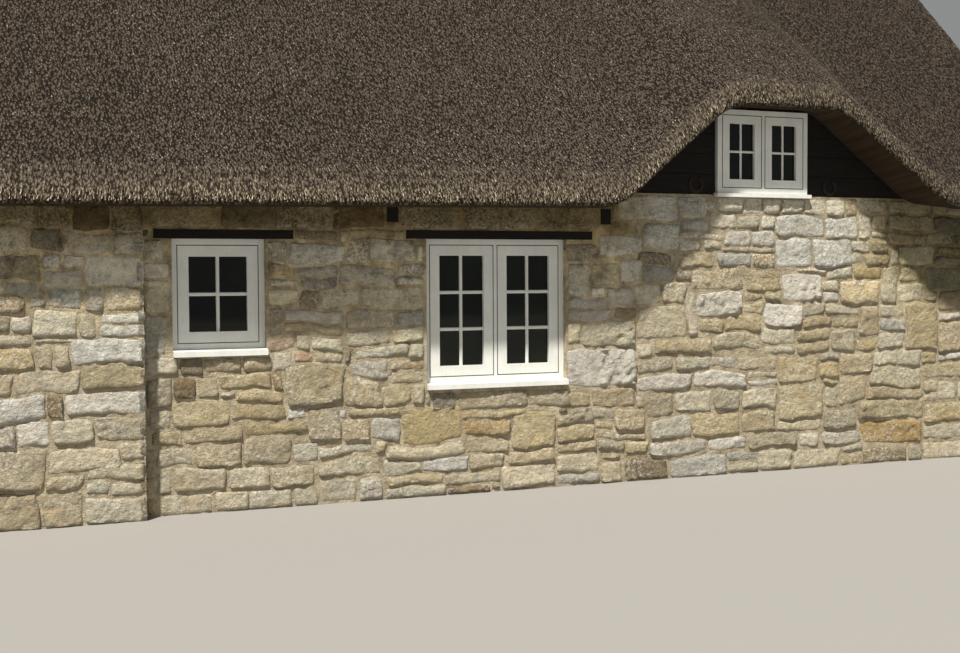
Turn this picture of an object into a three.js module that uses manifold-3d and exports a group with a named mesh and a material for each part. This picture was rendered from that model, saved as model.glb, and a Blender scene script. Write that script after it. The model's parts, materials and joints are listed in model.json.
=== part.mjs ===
// A thatched stone cottage of one and a half storeys: rubble walls, timber lintels, flush casement windows,
// an eyebrow dormer in each slope, a coat of thatch on a rafter frame, a plank door and a gable chimney.
// Millimetres. +X runs along the front, +Y goes from the front wall to the back wall and +Z is up.
// The origin is the middle of the plan at ground level.
import * as THREE from "three";
import { mergeVertices } from "three/addons/utils/BufferGeometryUtils.js";
import Module from "manifold-3d";

const wasm = await Module();
wasm.setup();

// Driving dimensions
const SEAT = 0.3; // gap between two pieces that touch
const WALL_LENGTH = 10600;
const WALL_DEPTH = 5400; // over the outer faces of the front and back walls
const WALL_THICK = 500;
const WALL_HEAD = 2107;
const PROUD = { from: -5300, to: -1850, by: 120, top: 1975 }; // the thicker left stretch of the front wall
const FLOOR_THICK = 100;
const BEAM = { width: 78, bottom: 1875, top: 1985, proud: 8, centres: [-178, 1448] };
const UPPER_FLOOR = { bottom: 1970, top: 2040 };

const EAVE_OUT = 400; // the thatch edge in front of the wall face
const VERGE_OUT = 300; // the thatch end past the gable wall
const PITCH = THREE.MathUtils.degToRad(47);
const THATCH_UPRIGHT = 440; // thickness of the coat, measured straight up
const EAVE = { height: 1945, rise: 0.012 }; // the drip edge climbs a little from left to right
const LIP = 185; // from the drip edge up to where the slope begins
const SOFFIT_RISE = 0.16;
const SPLAY = { by: 100, from: 140 }; // how far the arch's right side leans in, from the lip to the wall
const HOOD_RISE = 0.7; // slope of the thatch over a dormer
const HOOD_BLEND = 220;
const ARCH = { centre: 2796, crown: 2705, rounding: 0.15, left: [450, 1410], right: [540, 1500] };
const SET_BACK = { crown: 95, reach: 900 }; // the lip over a dormer stands back from the eave line
// The hand-dressed coat's waves: how deep and how far apart they are, how far each row of them wanders, over
// how many waves it does so, and where they start and end going up.
const SWELL = { deep: 22, along: 784, up: 900, from: [50, 400], to: [2200, 2560] };
SWELL.wander = { along: 2, up: 1.5 };
SWELL.every = { along: 2.3, up: 1.7 };
const RIDGE = { down: 450, thick: 110, shoulder: 120, top: 45, topDrop: 66 };

const FRAME_FACE = 40;
const FRAME_DEPTH = 70;
const MULLION = 28;
const SASH_DEPTH = 55;
const SASH_GAP = 3;
const STOP = 12; // how far the frame's stop laps the sash, and the sash's lip laps the glass
const GLASS = { thick: 20, behind: 25 };
const SILL = { height: 41, out: 35, slope: 7 };
const DORMER_SILL = { out: 45, drop: 16, past: 20 };
const LINTEL = { height: 58, deep: 250, proud: 4 };

const SMALL_WINDOW = { centre: -1350, bottom: 1046, width: 606, height: 710, lights: 1, setback: 50 };
const WIDE_WINDOW = { centre: 597, bottom: 774, width: 1066, height: 990, lights: 2, setback: 50 };
const DORMER_WINDOW = { centre: 2796, bottom: 2121, width: 812, height: 624, lights: 2, setback: -15 };
SMALL_WINDOW.lintel = [-1766, -866];
WIDE_WINDOW.lintel = [-82, 1337];
SMALL_WINDOW.stile = WIDE_WINDOW.stile = 71;
DORMER_WINDOW.stile = 61;
const BOARDING = { setback: 10, thick: 25 };
const HORSESHOE = { spread: 608, shift: 26, radius: 66, iron: 22, thick: 10, lift: 9, gap: 0.62 };

const DOOR = { centre: -4000, width: 900, top: 1800, jamb: 60, depth: 80, leaf: 44, setback: 150 };
DOOR.lintelPast = 100;
const CHIMNEY = { wide: 900, seat: 4480, top: 6350, band: 6120, bandOut: 35, bandHigh: 70 };
const POT = { foot: 170, mouth: 130, wall: 28, height: 420 };

const RAFTER = { width: 60, deep: 100, spacing: 620, pairs: 16 };
const PLATE = { from: 100, to: 250, high: 75 };
const PURLIN = { in: 1140, size: 110 };
const COLLAR = { height: 4050, deep: 110 };
const RIDGE_BEAM = { width: 60, high: 160 };

// Worked out from them
const FACE = WALL_DEPTH / 2; // the front wall's outer face is at y = -FACE
const INSIDE = FACE - WALL_THICK;
const HALF_LENGTH = WALL_LENGTH / 2;
const DRIP = FACE + EAVE_OUT; // the drip edge is at y = -DRIP
const HALF_THATCH = HALF_LENGTH + VERGE_OUT;
const SLOPE = Math.tan(PITCH);
const SLOPE_START = EAVE.height + LIP;
const APEX = SLOPE_START + DRIP * SLOPE;
const RAFTER_UPRIGHT = RAFTER.deep / Math.cos(PITCH);

const MATERIALS = {
  stone: new THREE.MeshStandardMaterial({ color: 0xb8a888, roughness: 0.95 }),
  flags: new THREE.MeshStandardMaterial({ color: 0x9b9183, roughness: 0.9 }),
  thatch: new THREE.MeshStandardMaterial({ color: 0x5d5248, roughness: 1 }),
  white: new THREE.MeshStandardMaterial({ color: 0xd9dbd6, roughness: 0.45 }),
  dark: new THREE.MeshStandardMaterial({ color: 0x241a14, roughness: 0.8 }),
  timber: new THREE.MeshStandardMaterial({ color: 0x6d5138, roughness: 0.8 }),
  glass: new THREE.MeshStandardMaterial({ color: 0x11150f, roughness: 0.05 }),
  iron: new THREE.MeshStandardMaterial({ color: 0x2b2522, roughness: 0.7, metalness: 0.6 }),
  door: new THREE.MeshStandardMaterial({ color: 0x4a5a4c, roughness: 0.6 }),
  clay: new THREE.MeshStandardMaterial({ color: 0xa65f3f, roughness: 0.9 }),
};
MATERIALS.glass.transparent = true;
MATERIALS.glass.opacity = 0.35;

// Shapes

function box(x, y, z) {
  const middle = [x, y, z].map(([low, high]) => (low + high) / 2);
  return new THREE.BoxGeometry(x[1] - x[0], y[1] - y[0], z[1] - z[0]).translate(...middle);
}

function extrude(shape, length) {
  return new THREE.ExtrudeGeometry(shape, { depth: length, bevelEnabled: false, curveSegments: 12 });
}

function outline(points) {
  return new THREE.Shape(points.map(([u, v]) => new THREE.Vector2(u, v)));
}

// An outline in (y, z), run along X.
function alongX(points, x0, x1) {
  const turn = new THREE.Matrix4().makeBasis(
    new THREE.Vector3(0, 1, 0),
    new THREE.Vector3(0, 0, 1),
    new THREE.Vector3(1, 0, 0),
  );
  return extrude(outline(points), x1 - x0).applyMatrix4(turn).translate(x0, 0, 0);
}

// An outline in (x, z), run along Y.
function alongY(shape, y0, y1) {
  const turn = new THREE.Matrix4().makeBasis(
    new THREE.Vector3(1, 0, 0),
    new THREE.Vector3(0, 0, 1),
    new THREE.Vector3(0, -1, 0),
  );
  return extrude(shape, y1 - y0).applyMatrix4(turn).translate(0, y1, 0);
}

function solidOf(geometry) {
  const bare = geometry.clone();
  bare.deleteAttribute("normal");
  bare.deleteAttribute("uv");
  const merged = mergeVertices(bare);
  return new wasm.Manifold(
    new wasm.Mesh({
      numProp: 3,
      vertProperties: merged.attributes.position.array,
      triVerts: new Uint32Array(merged.index.array),
    }),
  );
}

function geometryOf(solid) {
  const made = solid.getMesh();
  const geometry = new THREE.BufferGeometry();
  geometry.setAttribute("position", new THREE.BufferAttribute(new Float32Array(made.vertProperties), 3));
  geometry.setIndex(new THREE.BufferAttribute(new Uint32Array(made.triVerts), 1));
  geometry.computeVertexNormals();
  return geometry;
}

function cut(body, tools) {
  return geometryOf(tools.reduce((left, tool) => left.subtract(solidOf(tool)), solidOf(body)));
}

function join(pieces) {
  return geometryOf(pieces.map(solidOf).reduce((whole, piece) => whole.add(piece)));
}

function mesh(name, geometry, material) {
  const made = new THREE.Mesh(geometry, material);
  made.name = name;
  return made;
}

// The thatch surfaces, all in the front side's own frame. in_ is the distance in from the drip edge.

// A ramp from 0 to 1 with rounded ends.
function rounded(t) {
  const r = ARCH.rounding;
  if (t <= -r) return 0;
  if (t < r) return (t + r) ** 2 / (4 * r);
  if (t < 1 - r) return t;
  return t < 1 + r ? 1 - (1 + r - t) ** 2 / (4 * r) : 1;
}

// How far the drip edge has swept up over the dormer at x, from 0 to 1.
function sweep(x) {
  const [top, base] = x < ARCH.centre ? ARCH.left : ARCH.right;
  return rounded((base - Math.abs(x - ARCH.centre)) / (base - top));
}

function dripEdge(x) {
  const straight = EAVE.height + EAVE.rise * x;
  return straight + (ARCH.crown - straight) * sweep(x);
}

// How far the lip stands back from the eave line at x: the more, the higher it has swept up.
function setBack(x) {
  return SET_BACK.crown * sweep(x);
}

function soffit(x, in_) {
  const share = THREE.MathUtils.clamp((in_ - SPLAY.from) / (EAVE_OUT - SPLAY.from), 0, 1);
  const lean = x > ARCH.centre ? SPLAY.by * share : 0;
  return dripEdge(x + lean) + SOFFIT_RISE * in_;
}

function slopeTop(x, in_) {
  return SLOPE_START + EAVE.rise * x * Math.max(1 - in_ / LEVEL_ABOVE, 0) + SLOPE * in_;
}

function underside(in_) {
  return SLOPE_START - THATCH_UPRIGHT + SLOPE * in_;
}

// How deep the coat dips at a place between its crests. It runs out level at the lip and under the ridge.
function swell(x, in_) {
  const { deep, along, up, wander, every, from, to } = SWELL;
  const [u, v] = [(2 * Math.PI * x) / along, (2 * Math.PI * in_) / up];
  const wave = (angle) => (1 + Math.sin(angle)) / 2;
  const alongWave = wave(u + wander.along * Math.sin(v / every.along));
  const upWave = wave(v + wander.up * Math.sin(u / every.up));
  const { smoothstep } = THREE.MathUtils;
  return ((deep * (alongWave + upWave)) / 2) * smoothstep(in_, ...from) * (1 - smoothstep(in_, ...to));
}

// The outer surface: the plain slope, and the hood over the dormer where that is higher.
function thatchTop(x, in_) {
  const plain = slopeTop(x, in_);
  const hood = dripEdge(x) + LIP + HOOD_RISE * in_;
  const blend = HOOD_BLEND * sweep(x) + 1e-6;
  const apart = Math.max(blend - Math.abs(plain - hood), 0) / blend;
  return Math.max(plain, hood) + (apart * apart * blend) / 4 - swell(x, in_);
}

const LIP_IN = 45;
const LIP_CURVE = [
  [12, 28],
  [0, 75],
  [12, 140],
];
const LEVEL_ABOVE = 2200; // from here in, the slope is a true plane up to the ridge
const ROWS = [50, 120, 230, 400, 600, 800, 1000, 1200, 1400, 1600, 1800, 2000, LEVEL_ABOVE, 2400, 2560, 2640];
const STATION_STEP = { arch: 116, plain: 224 };
const ARCH_REACH = [ARCH.centre - ARCH.left[1] - 220, ARCH.centre + ARCH.right[1] + 230];

// The cross-section of the coat at x, as (y, z), going up the outside and back along the soffit.
function section(x) {
  const back = setBack(x);
  const at = (in_) => in_ + back * Math.max(1 - in_ / SET_BACK.reach, 0) - DRIP;
  const low = dripEdge(x) + SOFFIT_RISE * back;
  const edge = LIP_CURVE.map(([in_, up]) => [at(in_), low + up]);
  const lip = [[at(LIP_IN), soffit(x, at(LIP_IN) + DRIP)], ...edge];
  const slope = ROWS.map((in_) => [at(in_), thatchTop(x, in_)]);
  const middle = -SEAT / 2;
  const ridge = [middle, slopeTop(x, DRIP + middle)];
  return [...lip, ...slope, ridge, [middle, soffit(x, DRIP + middle)], [-FACE, soffit(x, EAVE_OUT)]];
}

function spread(from, to, step) {
  const count = Math.round((to - from) / step);
  return Array.from({ length: count }, (_, i) => from + ((to - from) * i) / count);
}

function archStations() {
  return spread(...ARCH_REACH, STATION_STEP.arch);
}

// Where the coat's cross-sections stand: closer together over the dormer.
function coatStations() {
  const left = spread(-HALF_THATCH, ARCH_REACH[0], STATION_STEP.plain);
  const right = spread(ARCH_REACH[1], HALF_THATCH, STATION_STEP.plain);
  return [...left, ...archStations(), ...right, HALF_THATCH];
}

// A closed body through one cross-section at each station.
function loft(stations, sectionAt) {
  const rings = stations.map((x) => sectionAt(x).map(([y, z]) => [x, y, z]));
  const size = rings[0].length;
  const positions = [];
  const triangle = (a, b, c) => positions.push(...b, ...a, ...c);
  for (let s = 0; s + 1 < rings.length; s++) {
    for (let k = 0; k < size; k++) {
      const n = (k + 1) % size;
      triangle(rings[s][k], rings[s][n], rings[s + 1][n]);
      triangle(rings[s][k], rings[s + 1][n], rings[s + 1][k]);
    }
  }
  const [first, last] = [rings[0], rings[rings.length - 1]];
  const cap = (ring) =>
    THREE.ShapeUtils.triangulateShape(ring.map(([, y, z]) => new THREE.Vector2(y, z)), []);
  cap(first).forEach(([a, b, c]) => triangle(first[a], first[b], first[c]));
  cap(last).forEach(([a, b, c]) => triangle(last[c], last[b], last[a]));
  const geometry = new THREE.BufferGeometry();
  return geometry.setAttribute("position", new THREE.Float32BufferAttribute(positions, 3));
}

// One slope's coat: the loft, less the attic, less the head of the thicker wall, less the chimney.
function thatchCoat({ proud, chimneyAtLeft }) {
  const past = HALF_THATCH + 200;
  const [face, middle] = [-FACE - SEAT, 200];
  const attic = alongX(
    [
      [face, 0],
      [middle, 0],
      [middle, underside(DRIP + middle)],
      [face, underside(DRIP + face)],
    ],
    -past,
    past,
  );
  const tools = [attic];
  if (proud) {
    tools.push(
      box(
        [PROUD.from - SEAT, PROUD.to + SEAT],
        [-FACE - PROUD.by - SEAT, -INSIDE],
        [0, PROUD.top + SEAT],
      ),
    );
  }
  const chimney = [HALF_LENGTH - WALL_THICK - SEAT, past];
  const across = chimneyAtLeft ? [-chimney[1], -chimney[0]] : chimney;
  tools.push(box(across, [-CHIMNEY.wide / 2 - SEAT, 500], [CHIMNEY.seat - 500, CHIMNEY.top]));
  return cut(loft(coatStations(), section), tools);
}

function thatchRidge() {
  const [sin, cos] = [Math.sin(PITCH), Math.cos(PITCH)];
  const lift = SEAT / cos;
  const crown = APEX + RIDGE.thick / cos;
  const seatAt = (y) => APEX - SLOPE * Math.abs(y) + lift;
  const outer = (y) => [y * (1 + (RIDGE.thick * sin) / RIDGE.down), seatAt(y) + RIDGE.thick * cos];
  const half = [
    [-RIDGE.down, seatAt(RIDGE.down)],
    outer(-RIDGE.down),
    [-RIDGE.shoulder, crown - RIDGE.shoulder * SLOPE],
    [-RIDGE.top, crown - RIDGE.topDrop],
  ];
  const other = [...half].reverse().map(([y, z]) => [-y, z]);
  return alongX([...half, ...other, [0, seatAt(0)]], WALL_THICK - HALF_LENGTH + SEAT, HALF_THATCH);
}

// Windows. Each is built about the bottom middle of its frame, on the wall's outer face, with -Y facing out.

function lightsOf({ width, height, lights }) {
  const clear = width - 2 * FRAME_FACE;
  const each = (clear - (lights - 1) * MULLION) / lights;
  return Array.from({ length: lights }, (_, i) => {
    const x = -clear / 2 + i * (each + MULLION);
    const side = lights === 1 ? "" : i === 0 ? "left_" : "right_";
    return { side, x: [x, x + each], z: [FRAME_FACE, height - FRAME_FACE] };
  });
}

function shrink([low, high], by) {
  return [low + by, high - by];
}

function windowFrame(spec) {
  const { width, height, setback } = spec;
  const front = setback;
  const stopAt = front + SASH_DEPTH;
  const back = front + FRAME_DEPTH;
  const tools = lightsOf(spec).flatMap(({ x, z }) => [
    box(x, [front - 1, stopAt], z),
    box(shrink(x, STOP), [stopAt - 1, back + 1], shrink(z, STOP)),
  ]);
  return cut(box([-width / 2, width / 2], [front, back], [0, height]), tools);
}

function windowSash({ x, z }, { setback, stile }) {
  const [outerX, outerZ] = [shrink(x, SASH_GAP), shrink(z, SASH_GAP)];
  const [paneX, paneZ] = [shrink(outerX, stile), shrink(outerZ, stile)];
  const back = setback + SASH_DEPTH - SEAT;
  return cut(box(outerX, [setback, back], outerZ), [
    box(paneX, [setback - 1, back + 1], paneZ),
    box(shrink(paneX, -STOP), [setback + GLASS.behind, back + 1], shrink(paneZ, -STOP)),
  ]);
}

function windowGlass({ x, z }, { setback, stile }) {
  const face = SASH_GAP + stile - STOP + SEAT;
  const front = setback + GLASS.behind + SEAT;
  return box(shrink(x, face), [front, front + GLASS.thick], shrink(z, face));
}

function sillOutline(back) {
  return [
    [-SILL.out, -SILL.height],
    [back, -SILL.height],
    [back, -SEAT],
    [0, -SEAT],
    [-SILL.out, -SILL.slope],
  ];
}

// A dormer's frame has its own thin sill, which stands on the wall head and drips clear of the wall.
function dormerFrame(spec) {
  const { width, setback, bottom } = spec;
  const seat = WALL_HEAD - bottom + SEAT;
  const { out, drop, past } = DORMER_SILL;
  const sill = [
    [-out, seat - drop],
    [-SEAT, seat - drop],
    [-SEAT, seat],
    [setback + FRAME_DEPTH, seat],
    [setback + FRAME_DEPTH, 2],
    [-out, -3],
  ];
  return join([windowFrame(spec), alongX(sill, -width / 2 - past, width / 2 + past)]);
}

function casement(name, spec) {
  const { width, height, setback, lintel, centre, bottom } = spec;
  const group = new THREE.Group();
  group.position.set(centre, -FACE, bottom);
  const frame = lintel ? windowFrame(spec) : dormerFrame(spec);
  group.add(mesh(`${name}_frame`, frame, MATERIALS.white));
  for (const light of lightsOf(spec)) {
    group.add(mesh(`${name}_${light.side}sash`, windowSash(light, spec), MATERIALS.white));
    group.add(mesh(`${name}_${light.side}glass`, windowGlass(light, spec), MATERIALS.glass));
  }
  if (!lintel) return group;
  const sill = alongX(sillOutline(setback + FRAME_DEPTH), -width / 2, width / 2);
  const timber = box(
    [lintel[0] - centre, lintel[1] - centre],
    [-LINTEL.proud, LINTEL.deep],
    [height + SEAT, height + LINTEL.height],
  );
  group.add(mesh(`${name}_sill`, sill, MATERIALS.white), mesh(`${name}_lintel`, timber, MATERIALS.dark));
  return group;
}

// What a window takes out of its wall: the opening, and the pockets of its sill and lintel.
function casementCuts({ centre, bottom, width, height, setback, lintel }) {
  const x = [centre - width / 2 - SEAT, centre + width / 2 + SEAT];
  const out = -FACE - 1000;
  return [
    box(x, [out, 0], [bottom - SEAT, bottom + height + SEAT]),
    box(x, [out, -FACE + setback + FRAME_DEPTH + SEAT], [bottom - SILL.height - SEAT, bottom]),
    box(
      [lintel[0] - SEAT, lintel[1] + SEAT],
      [out, -FACE + LINTEL.deep + SEAT],
      [bottom + height, bottom + height + LINTEL.height + SEAT],
    ),
  ];
}

// Dark boards fill the arch round the dormer window.
function dormerBoarding() {
  const front = -FACE + BOARDING.setback;
  const base = WALL_HEAD + SEAT;
  const least = 20;
  const top = (x) => soffit(x, DRIP + front) - 2 * SEAT;
  const inArch = archStations().filter((x) => top(x) > base + least);
  const points = [...inArch.map((x) => [x, top(x)]), [inArch[inArch.length - 1], base], [inArch[0], base]];
  const { centre, width, bottom, height } = DORMER_WINDOW;
  const opening = box(
    [centre - width / 2 - SEAT, centre + width / 2 + SEAT],
    [front - 100, front + 100],
    [base - 100, bottom + height + SEAT],
  );
  const past = DORMER_SILL.past + SEAT;
  const sill = box(
    [centre - width / 2 - past, centre + width / 2 + past],
    [front - 100, front + 100],
    [base - 100, bottom + 2 + SEAT],
  );
  return cut(alongY(outline(points), front, front + BOARDING.thick), [opening, sill]);
}

function horseshoe() {
  const { radius, iron, gap } = HORSESHOE;
  const [from, to] = [Math.PI / 2 + gap, Math.PI / 2 - gap];
  const shape = new THREE.Shape();
  shape.absarc(0, 0, radius, from, to, false);
  shape.absarc(0, 0, radius - iron, to, from, true);
  shape.closePath();
  return alongY(shape, -HORSESHOE.thick, 0);
}

function horseshoes() {
  return [-1, 1].map((side) => {
    const made = mesh(side < 0 ? "left_horseshoe" : "right_horseshoe", horseshoe(), MATERIALS.iron);
    const x = DORMER_WINDOW.centre + HORSESHOE.shift + side * HORSESHOE.spread;
    const z = WALL_HEAD + HORSESHOE.lift + HORSESHOE.radius;
    made.position.set(x, -FACE + BOARDING.setback - SEAT, z);
    return made;
  });
}

// Door

function doorCuts() {
  const { centre, width, top, lintelPast } = DOOR;
  const x = [centre - width / 2, centre + width / 2];
  const out = -FACE - 1000;
  return [
    box(x, [out, 0], [-1, top + SEAT]),
    box(
      shrink(x, -lintelPast - SEAT),
      [out, -FACE - PROUD.by + LINTEL.deep + SEAT],
      [top, top + LINTEL.height + SEAT],
    ),
  ];
}

function doorway() {
  const { centre, width, top, jamb, depth, leaf, setback, lintelPast } = DOOR;
  const x = [-width / 2 + SEAT, width / 2 - SEAT];
  const group = new THREE.Group();
  group.position.set(centre, -FACE - PROUD.by, 0);
  const clear = shrink(x, jamb);
  const head = top - SEAT - jamb;
  const base = FLOOR_THICK + SEAT;
  const frame = cut(box(x, [setback, setback + depth], [base, top - SEAT]), [
    box(clear, [setback - 1, setback + leaf], [0, head]),
    box(shrink(clear, STOP), [setback + leaf - 1, setback + depth + 1], [0, head - STOP]),
  ]);
  const door = box(shrink(clear, SASH_GAP), [setback, setback + leaf - SEAT], [base + 5, head - SASH_GAP]);
  const lintel = box(shrink(x, -lintelPast), [-LINTEL.proud, LINTEL.deep], [top + SEAT, top + LINTEL.height]);
  group.add(mesh("door_frame", frame, MATERIALS.timber));
  group.add(mesh("plank_door", door, MATERIALS.door));
  group.add(mesh("door_lintel", lintel, MATERIALS.dark));
  return group;
}

// Walls, floors and beams

function beamPockets(centres) {
  const { width, bottom, top } = BEAM;
  return centres.map((x) =>
    box(
      [x - width / 2 - SEAT, x + width / 2 + SEAT],
      [-FACE - 1000, 0],
      [bottom - SEAT, top + SEAT],
    ),
  );
}

function longWall({ windows, beams, proud }) {
  const plain = box([-HALF_LENGTH, HALF_LENGTH], [-FACE, -INSIDE], [0, WALL_HEAD]);
  const tools = [...windows.flatMap(casementCuts), ...beamPockets(beams)];
  if (!proud) return cut(plain, tools);
  const thicker = box([PROUD.from, PROUD.to], [-FACE - PROUD.by, -INSIDE], [0, PROUD.top]);
  return cut(join([plain, thicker]), [...tools, ...doorCuts()]);
}

// The gable wall fits between the long walls and widens over their heads to the thatch.
function gableWall({ flatTop }) {
  const lift = WALL_HEAD + SEAT;
  const foot = INSIDE - SEAT;
  const lean = 2 * SEAT;
  const atHeight = (z) => (APEX - THATCH_UPRIGHT - lean - z) / SLOPE;
  const peak = APEX - THATCH_UPRIGHT - lean;
  const head = flatTop ? [[atHeight(flatTop), flatTop], [-atHeight(flatTop), flatTop]] : [[0, peak]];
  const shoulder = Math.min(atHeight(lift), FACE);
  return alongX(
    [[-foot, 0], [foot, 0], [foot, lift], [shoulder, lift], ...head, [-shoulder, lift], [-foot, lift]],
    -WALL_THICK / 2,
    WALL_THICK / 2,
  );
}

// The stone floor runs out through the doorway as its threshold.
function groundFloor(room, depth) {
  const { centre, width } = DOOR;
  const way = [centre - width / 2 + SEAT, centre + width / 2 - SEAT];
  return join([
    box(room, depth, [0, FLOOR_THICK]),
    box(way, [-FACE - PROUD.by, 0], [0, FLOOR_THICK]),
  ]);
}

// The boards lie on two beams whose ends show in the front and back walls.
function upperFloor(room, depth) {
  const half = BEAM.width / 2;
  const reach = FACE + BEAM.proud;
  const beams = BEAM.centres.map((x) => box([x - half, x + half], [-reach, reach], [BEAM.bottom, BEAM.top]));
  return join([box(room, depth, [UPPER_FLOOR.bottom, UPPER_FLOOR.top]), ...beams]);
}

// Roof frame: rafter pairs with collars, on plates, purlins and a ridge beam, pinned together as one frame.

function rafter(x, side, fromIn) {
  const top = (in_) => underside(in_) - 2 * SEAT;
  const y = (in_) => side * (DRIP - in_);
  const from = fromIn ?? EAVE_OUT + 140;
  const low = (in_) => top(in_) - RAFTER_UPRIGHT;
  const corners = [
    [y(from), Math.max(low(from), WALL_HEAD + SEAT)],
    [y(from), top(from)],
    [0, top(DRIP)],
    [0, low(DRIP)],
  ];
  return alongX(side > 0 ? corners : [...corners].reverse(), x - RAFTER.width / 2, x + RAFTER.width / 2);
}

function roofFrame() {
  const pieces = [];
  const end = HALF_LENGTH - WALL_THICK - SEAT;
  const first = (-(RAFTER.pairs - 1) * RAFTER.spacing) / 2;
  for (let i = 0; i < RAFTER.pairs; i++) {
    const x = first + i * RAFTER.spacing;
    for (const side of [-1, 1]) {
      const overWindow = Math.abs(x + side * ARCH.centre) < DORMER_WINDOW.width / 2;
      pieces.push(rafter(x, side, overWindow ? PURLIN.in + EAVE_OUT : undefined));
    }
    const reach = (APEX - THATCH_UPRIGHT - RAFTER_UPRIGHT / 2 - COLLAR.height) / SLOPE;
    pieces.push(
      box(
        [x - RAFTER.width / 2, x + RAFTER.width / 2],
        [-reach, reach],
        [COLLAR.height - COLLAR.deep, COLLAR.height],
      ),
    );
  }
  for (const side of [-1, 1]) {
    const plate = [side * (FACE - PLATE.from), side * (FACE - PLATE.to)].sort((a, b) => a - b);
    pieces.push(box([-end, end], plate, [WALL_HEAD + SEAT, WALL_HEAD + PLATE.high]));
    const middle = DRIP - EAVE_OUT - PURLIN.in;
    const purlin = [side * (middle - PURLIN.size), side * middle].sort((a, b) => a - b);
    const top = underside(EAVE_OUT + PURLIN.in) - RAFTER_UPRIGHT + 20;
    pieces.push(box([-end, end], purlin, [top - PURLIN.size, top]));
  }
  const peak = APEX - THATCH_UPRIGHT - RAFTER_UPRIGHT + 30;
  const half = RIDGE_BEAM.width / 2;
  pieces.push(box([-end, end], [-half, half], [peak - RIDGE_BEAM.high, peak]));
  return join(pieces);
}

// Chimney

function chimneyStack() {
  const { wide, seat, top, band, bandOut, bandHigh } = CHIMNEY;
  const [x, y] = [[-WALL_THICK / 2, WALL_THICK / 2], [-wide / 2, wide / 2]];
  const course = box(shrink(x, -bandOut), shrink(y, -bandOut), [band, band + bandHigh]);
  return join([box(x, y, [seat + SEAT, top]), course]);
}

function chimneyPot() {
  const { foot, mouth, wall, height } = POT;
  const profile = [
    [foot - wall, 0],
    [foot, 0],
    [foot, 50],
    [foot - 20, 70],
    [mouth + 8, height - 70],
    [mouth + 26, height - 55],
    [mouth + 26, height - 15],
    [mouth + 12, height],
    [mouth - wall + 12, height],
    [foot - wall, 0],
  ].map(([r, z]) => new THREE.Vector2(r, z));
  return new THREE.LatheGeometry(profile, 20).rotateX(Math.PI / 2);
}

// The cottage

const cottage = new THREE.Group();

const front = new THREE.Group();
front.add(
  mesh(
    "front_wall",
    longWall({ windows: [SMALL_WINDOW, WIDE_WINDOW], beams: BEAM.centres, proud: true }),
    MATERIALS.stone,
  ),
  mesh("thatch_front", thatchCoat({ proud: true, chimneyAtLeft: true }), MATERIALS.thatch),
  mesh("dormer_boarding", dormerBoarding(), MATERIALS.dark),
  casement("small_window", SMALL_WINDOW),
  casement("wide_window", WIDE_WINDOW),
  casement("dormer_window", DORMER_WINDOW),
  doorway(),
  ...horseshoes(),
);

// The back is the front turned half round, without the door, the wide window and the thicker stretch.
const back = new THREE.Group();
back.rotation.z = Math.PI;
back.add(
  mesh(
    "back_wall",
    longWall({ windows: [SMALL_WINDOW], beams: BEAM.centres.map((x) => -x), proud: false }),
    MATERIALS.stone,
  ),
  mesh("thatch_back", thatchCoat({ proud: false, chimneyAtLeft: false }), MATERIALS.thatch),
  mesh("back_dormer_boarding", dormerBoarding(), MATERIALS.dark),
  casement("back_window", SMALL_WINDOW),
  casement("back_dormer_window", DORMER_WINDOW),
);

const leftGable = mesh("left_gable_wall", gableWall({ flatTop: CHIMNEY.seat }), MATERIALS.stone);
leftGable.position.x = -HALF_LENGTH + WALL_THICK / 2;
const rightGable = mesh("right_gable_wall", gableWall({ flatTop: null }), MATERIALS.stone);
rightGable.position.x = HALF_LENGTH - WALL_THICK / 2;

const room = [-(HALF_LENGTH - WALL_THICK) + SEAT, HALF_LENGTH - WALL_THICK - SEAT];
const roomDepth = [-INSIDE + SEAT, INSIDE - SEAT];

const stack = new THREE.Group();
stack.position.x = -HALF_LENGTH + WALL_THICK / 2;
const pot = mesh("chimney_pot", chimneyPot(), MATERIALS.clay);
pot.position.z = CHIMNEY.top + SEAT;
stack.add(mesh("chimney_stack", chimneyStack(), MATERIALS.stone), pot);

cottage.add(
  front,
  back,
  leftGable,
  rightGable,
  mesh("ground_floor", groundFloor(room, roomDepth), MATERIALS.flags),
  mesh("upper_floor", upperFloor(room, roomDepth), MATERIALS.timber),
  mesh("roof_frame", roofFrame(), MATERIALS.timber),
  mesh("thatch_ridge", thatchRidge(), MATERIALS.thatch),
  stack,
);

export default cottage;
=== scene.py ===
"""A thatched stone cottage: rubble walls, flush casements, eyebrow dormers and a coat of reed.

Metres. +X runs along the front, +Y from the front wall to the back wall, +Z up.
"""

import json
import math
import random

import bpy
import numpy as np
from mathutils import Matrix, Vector, noise


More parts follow.
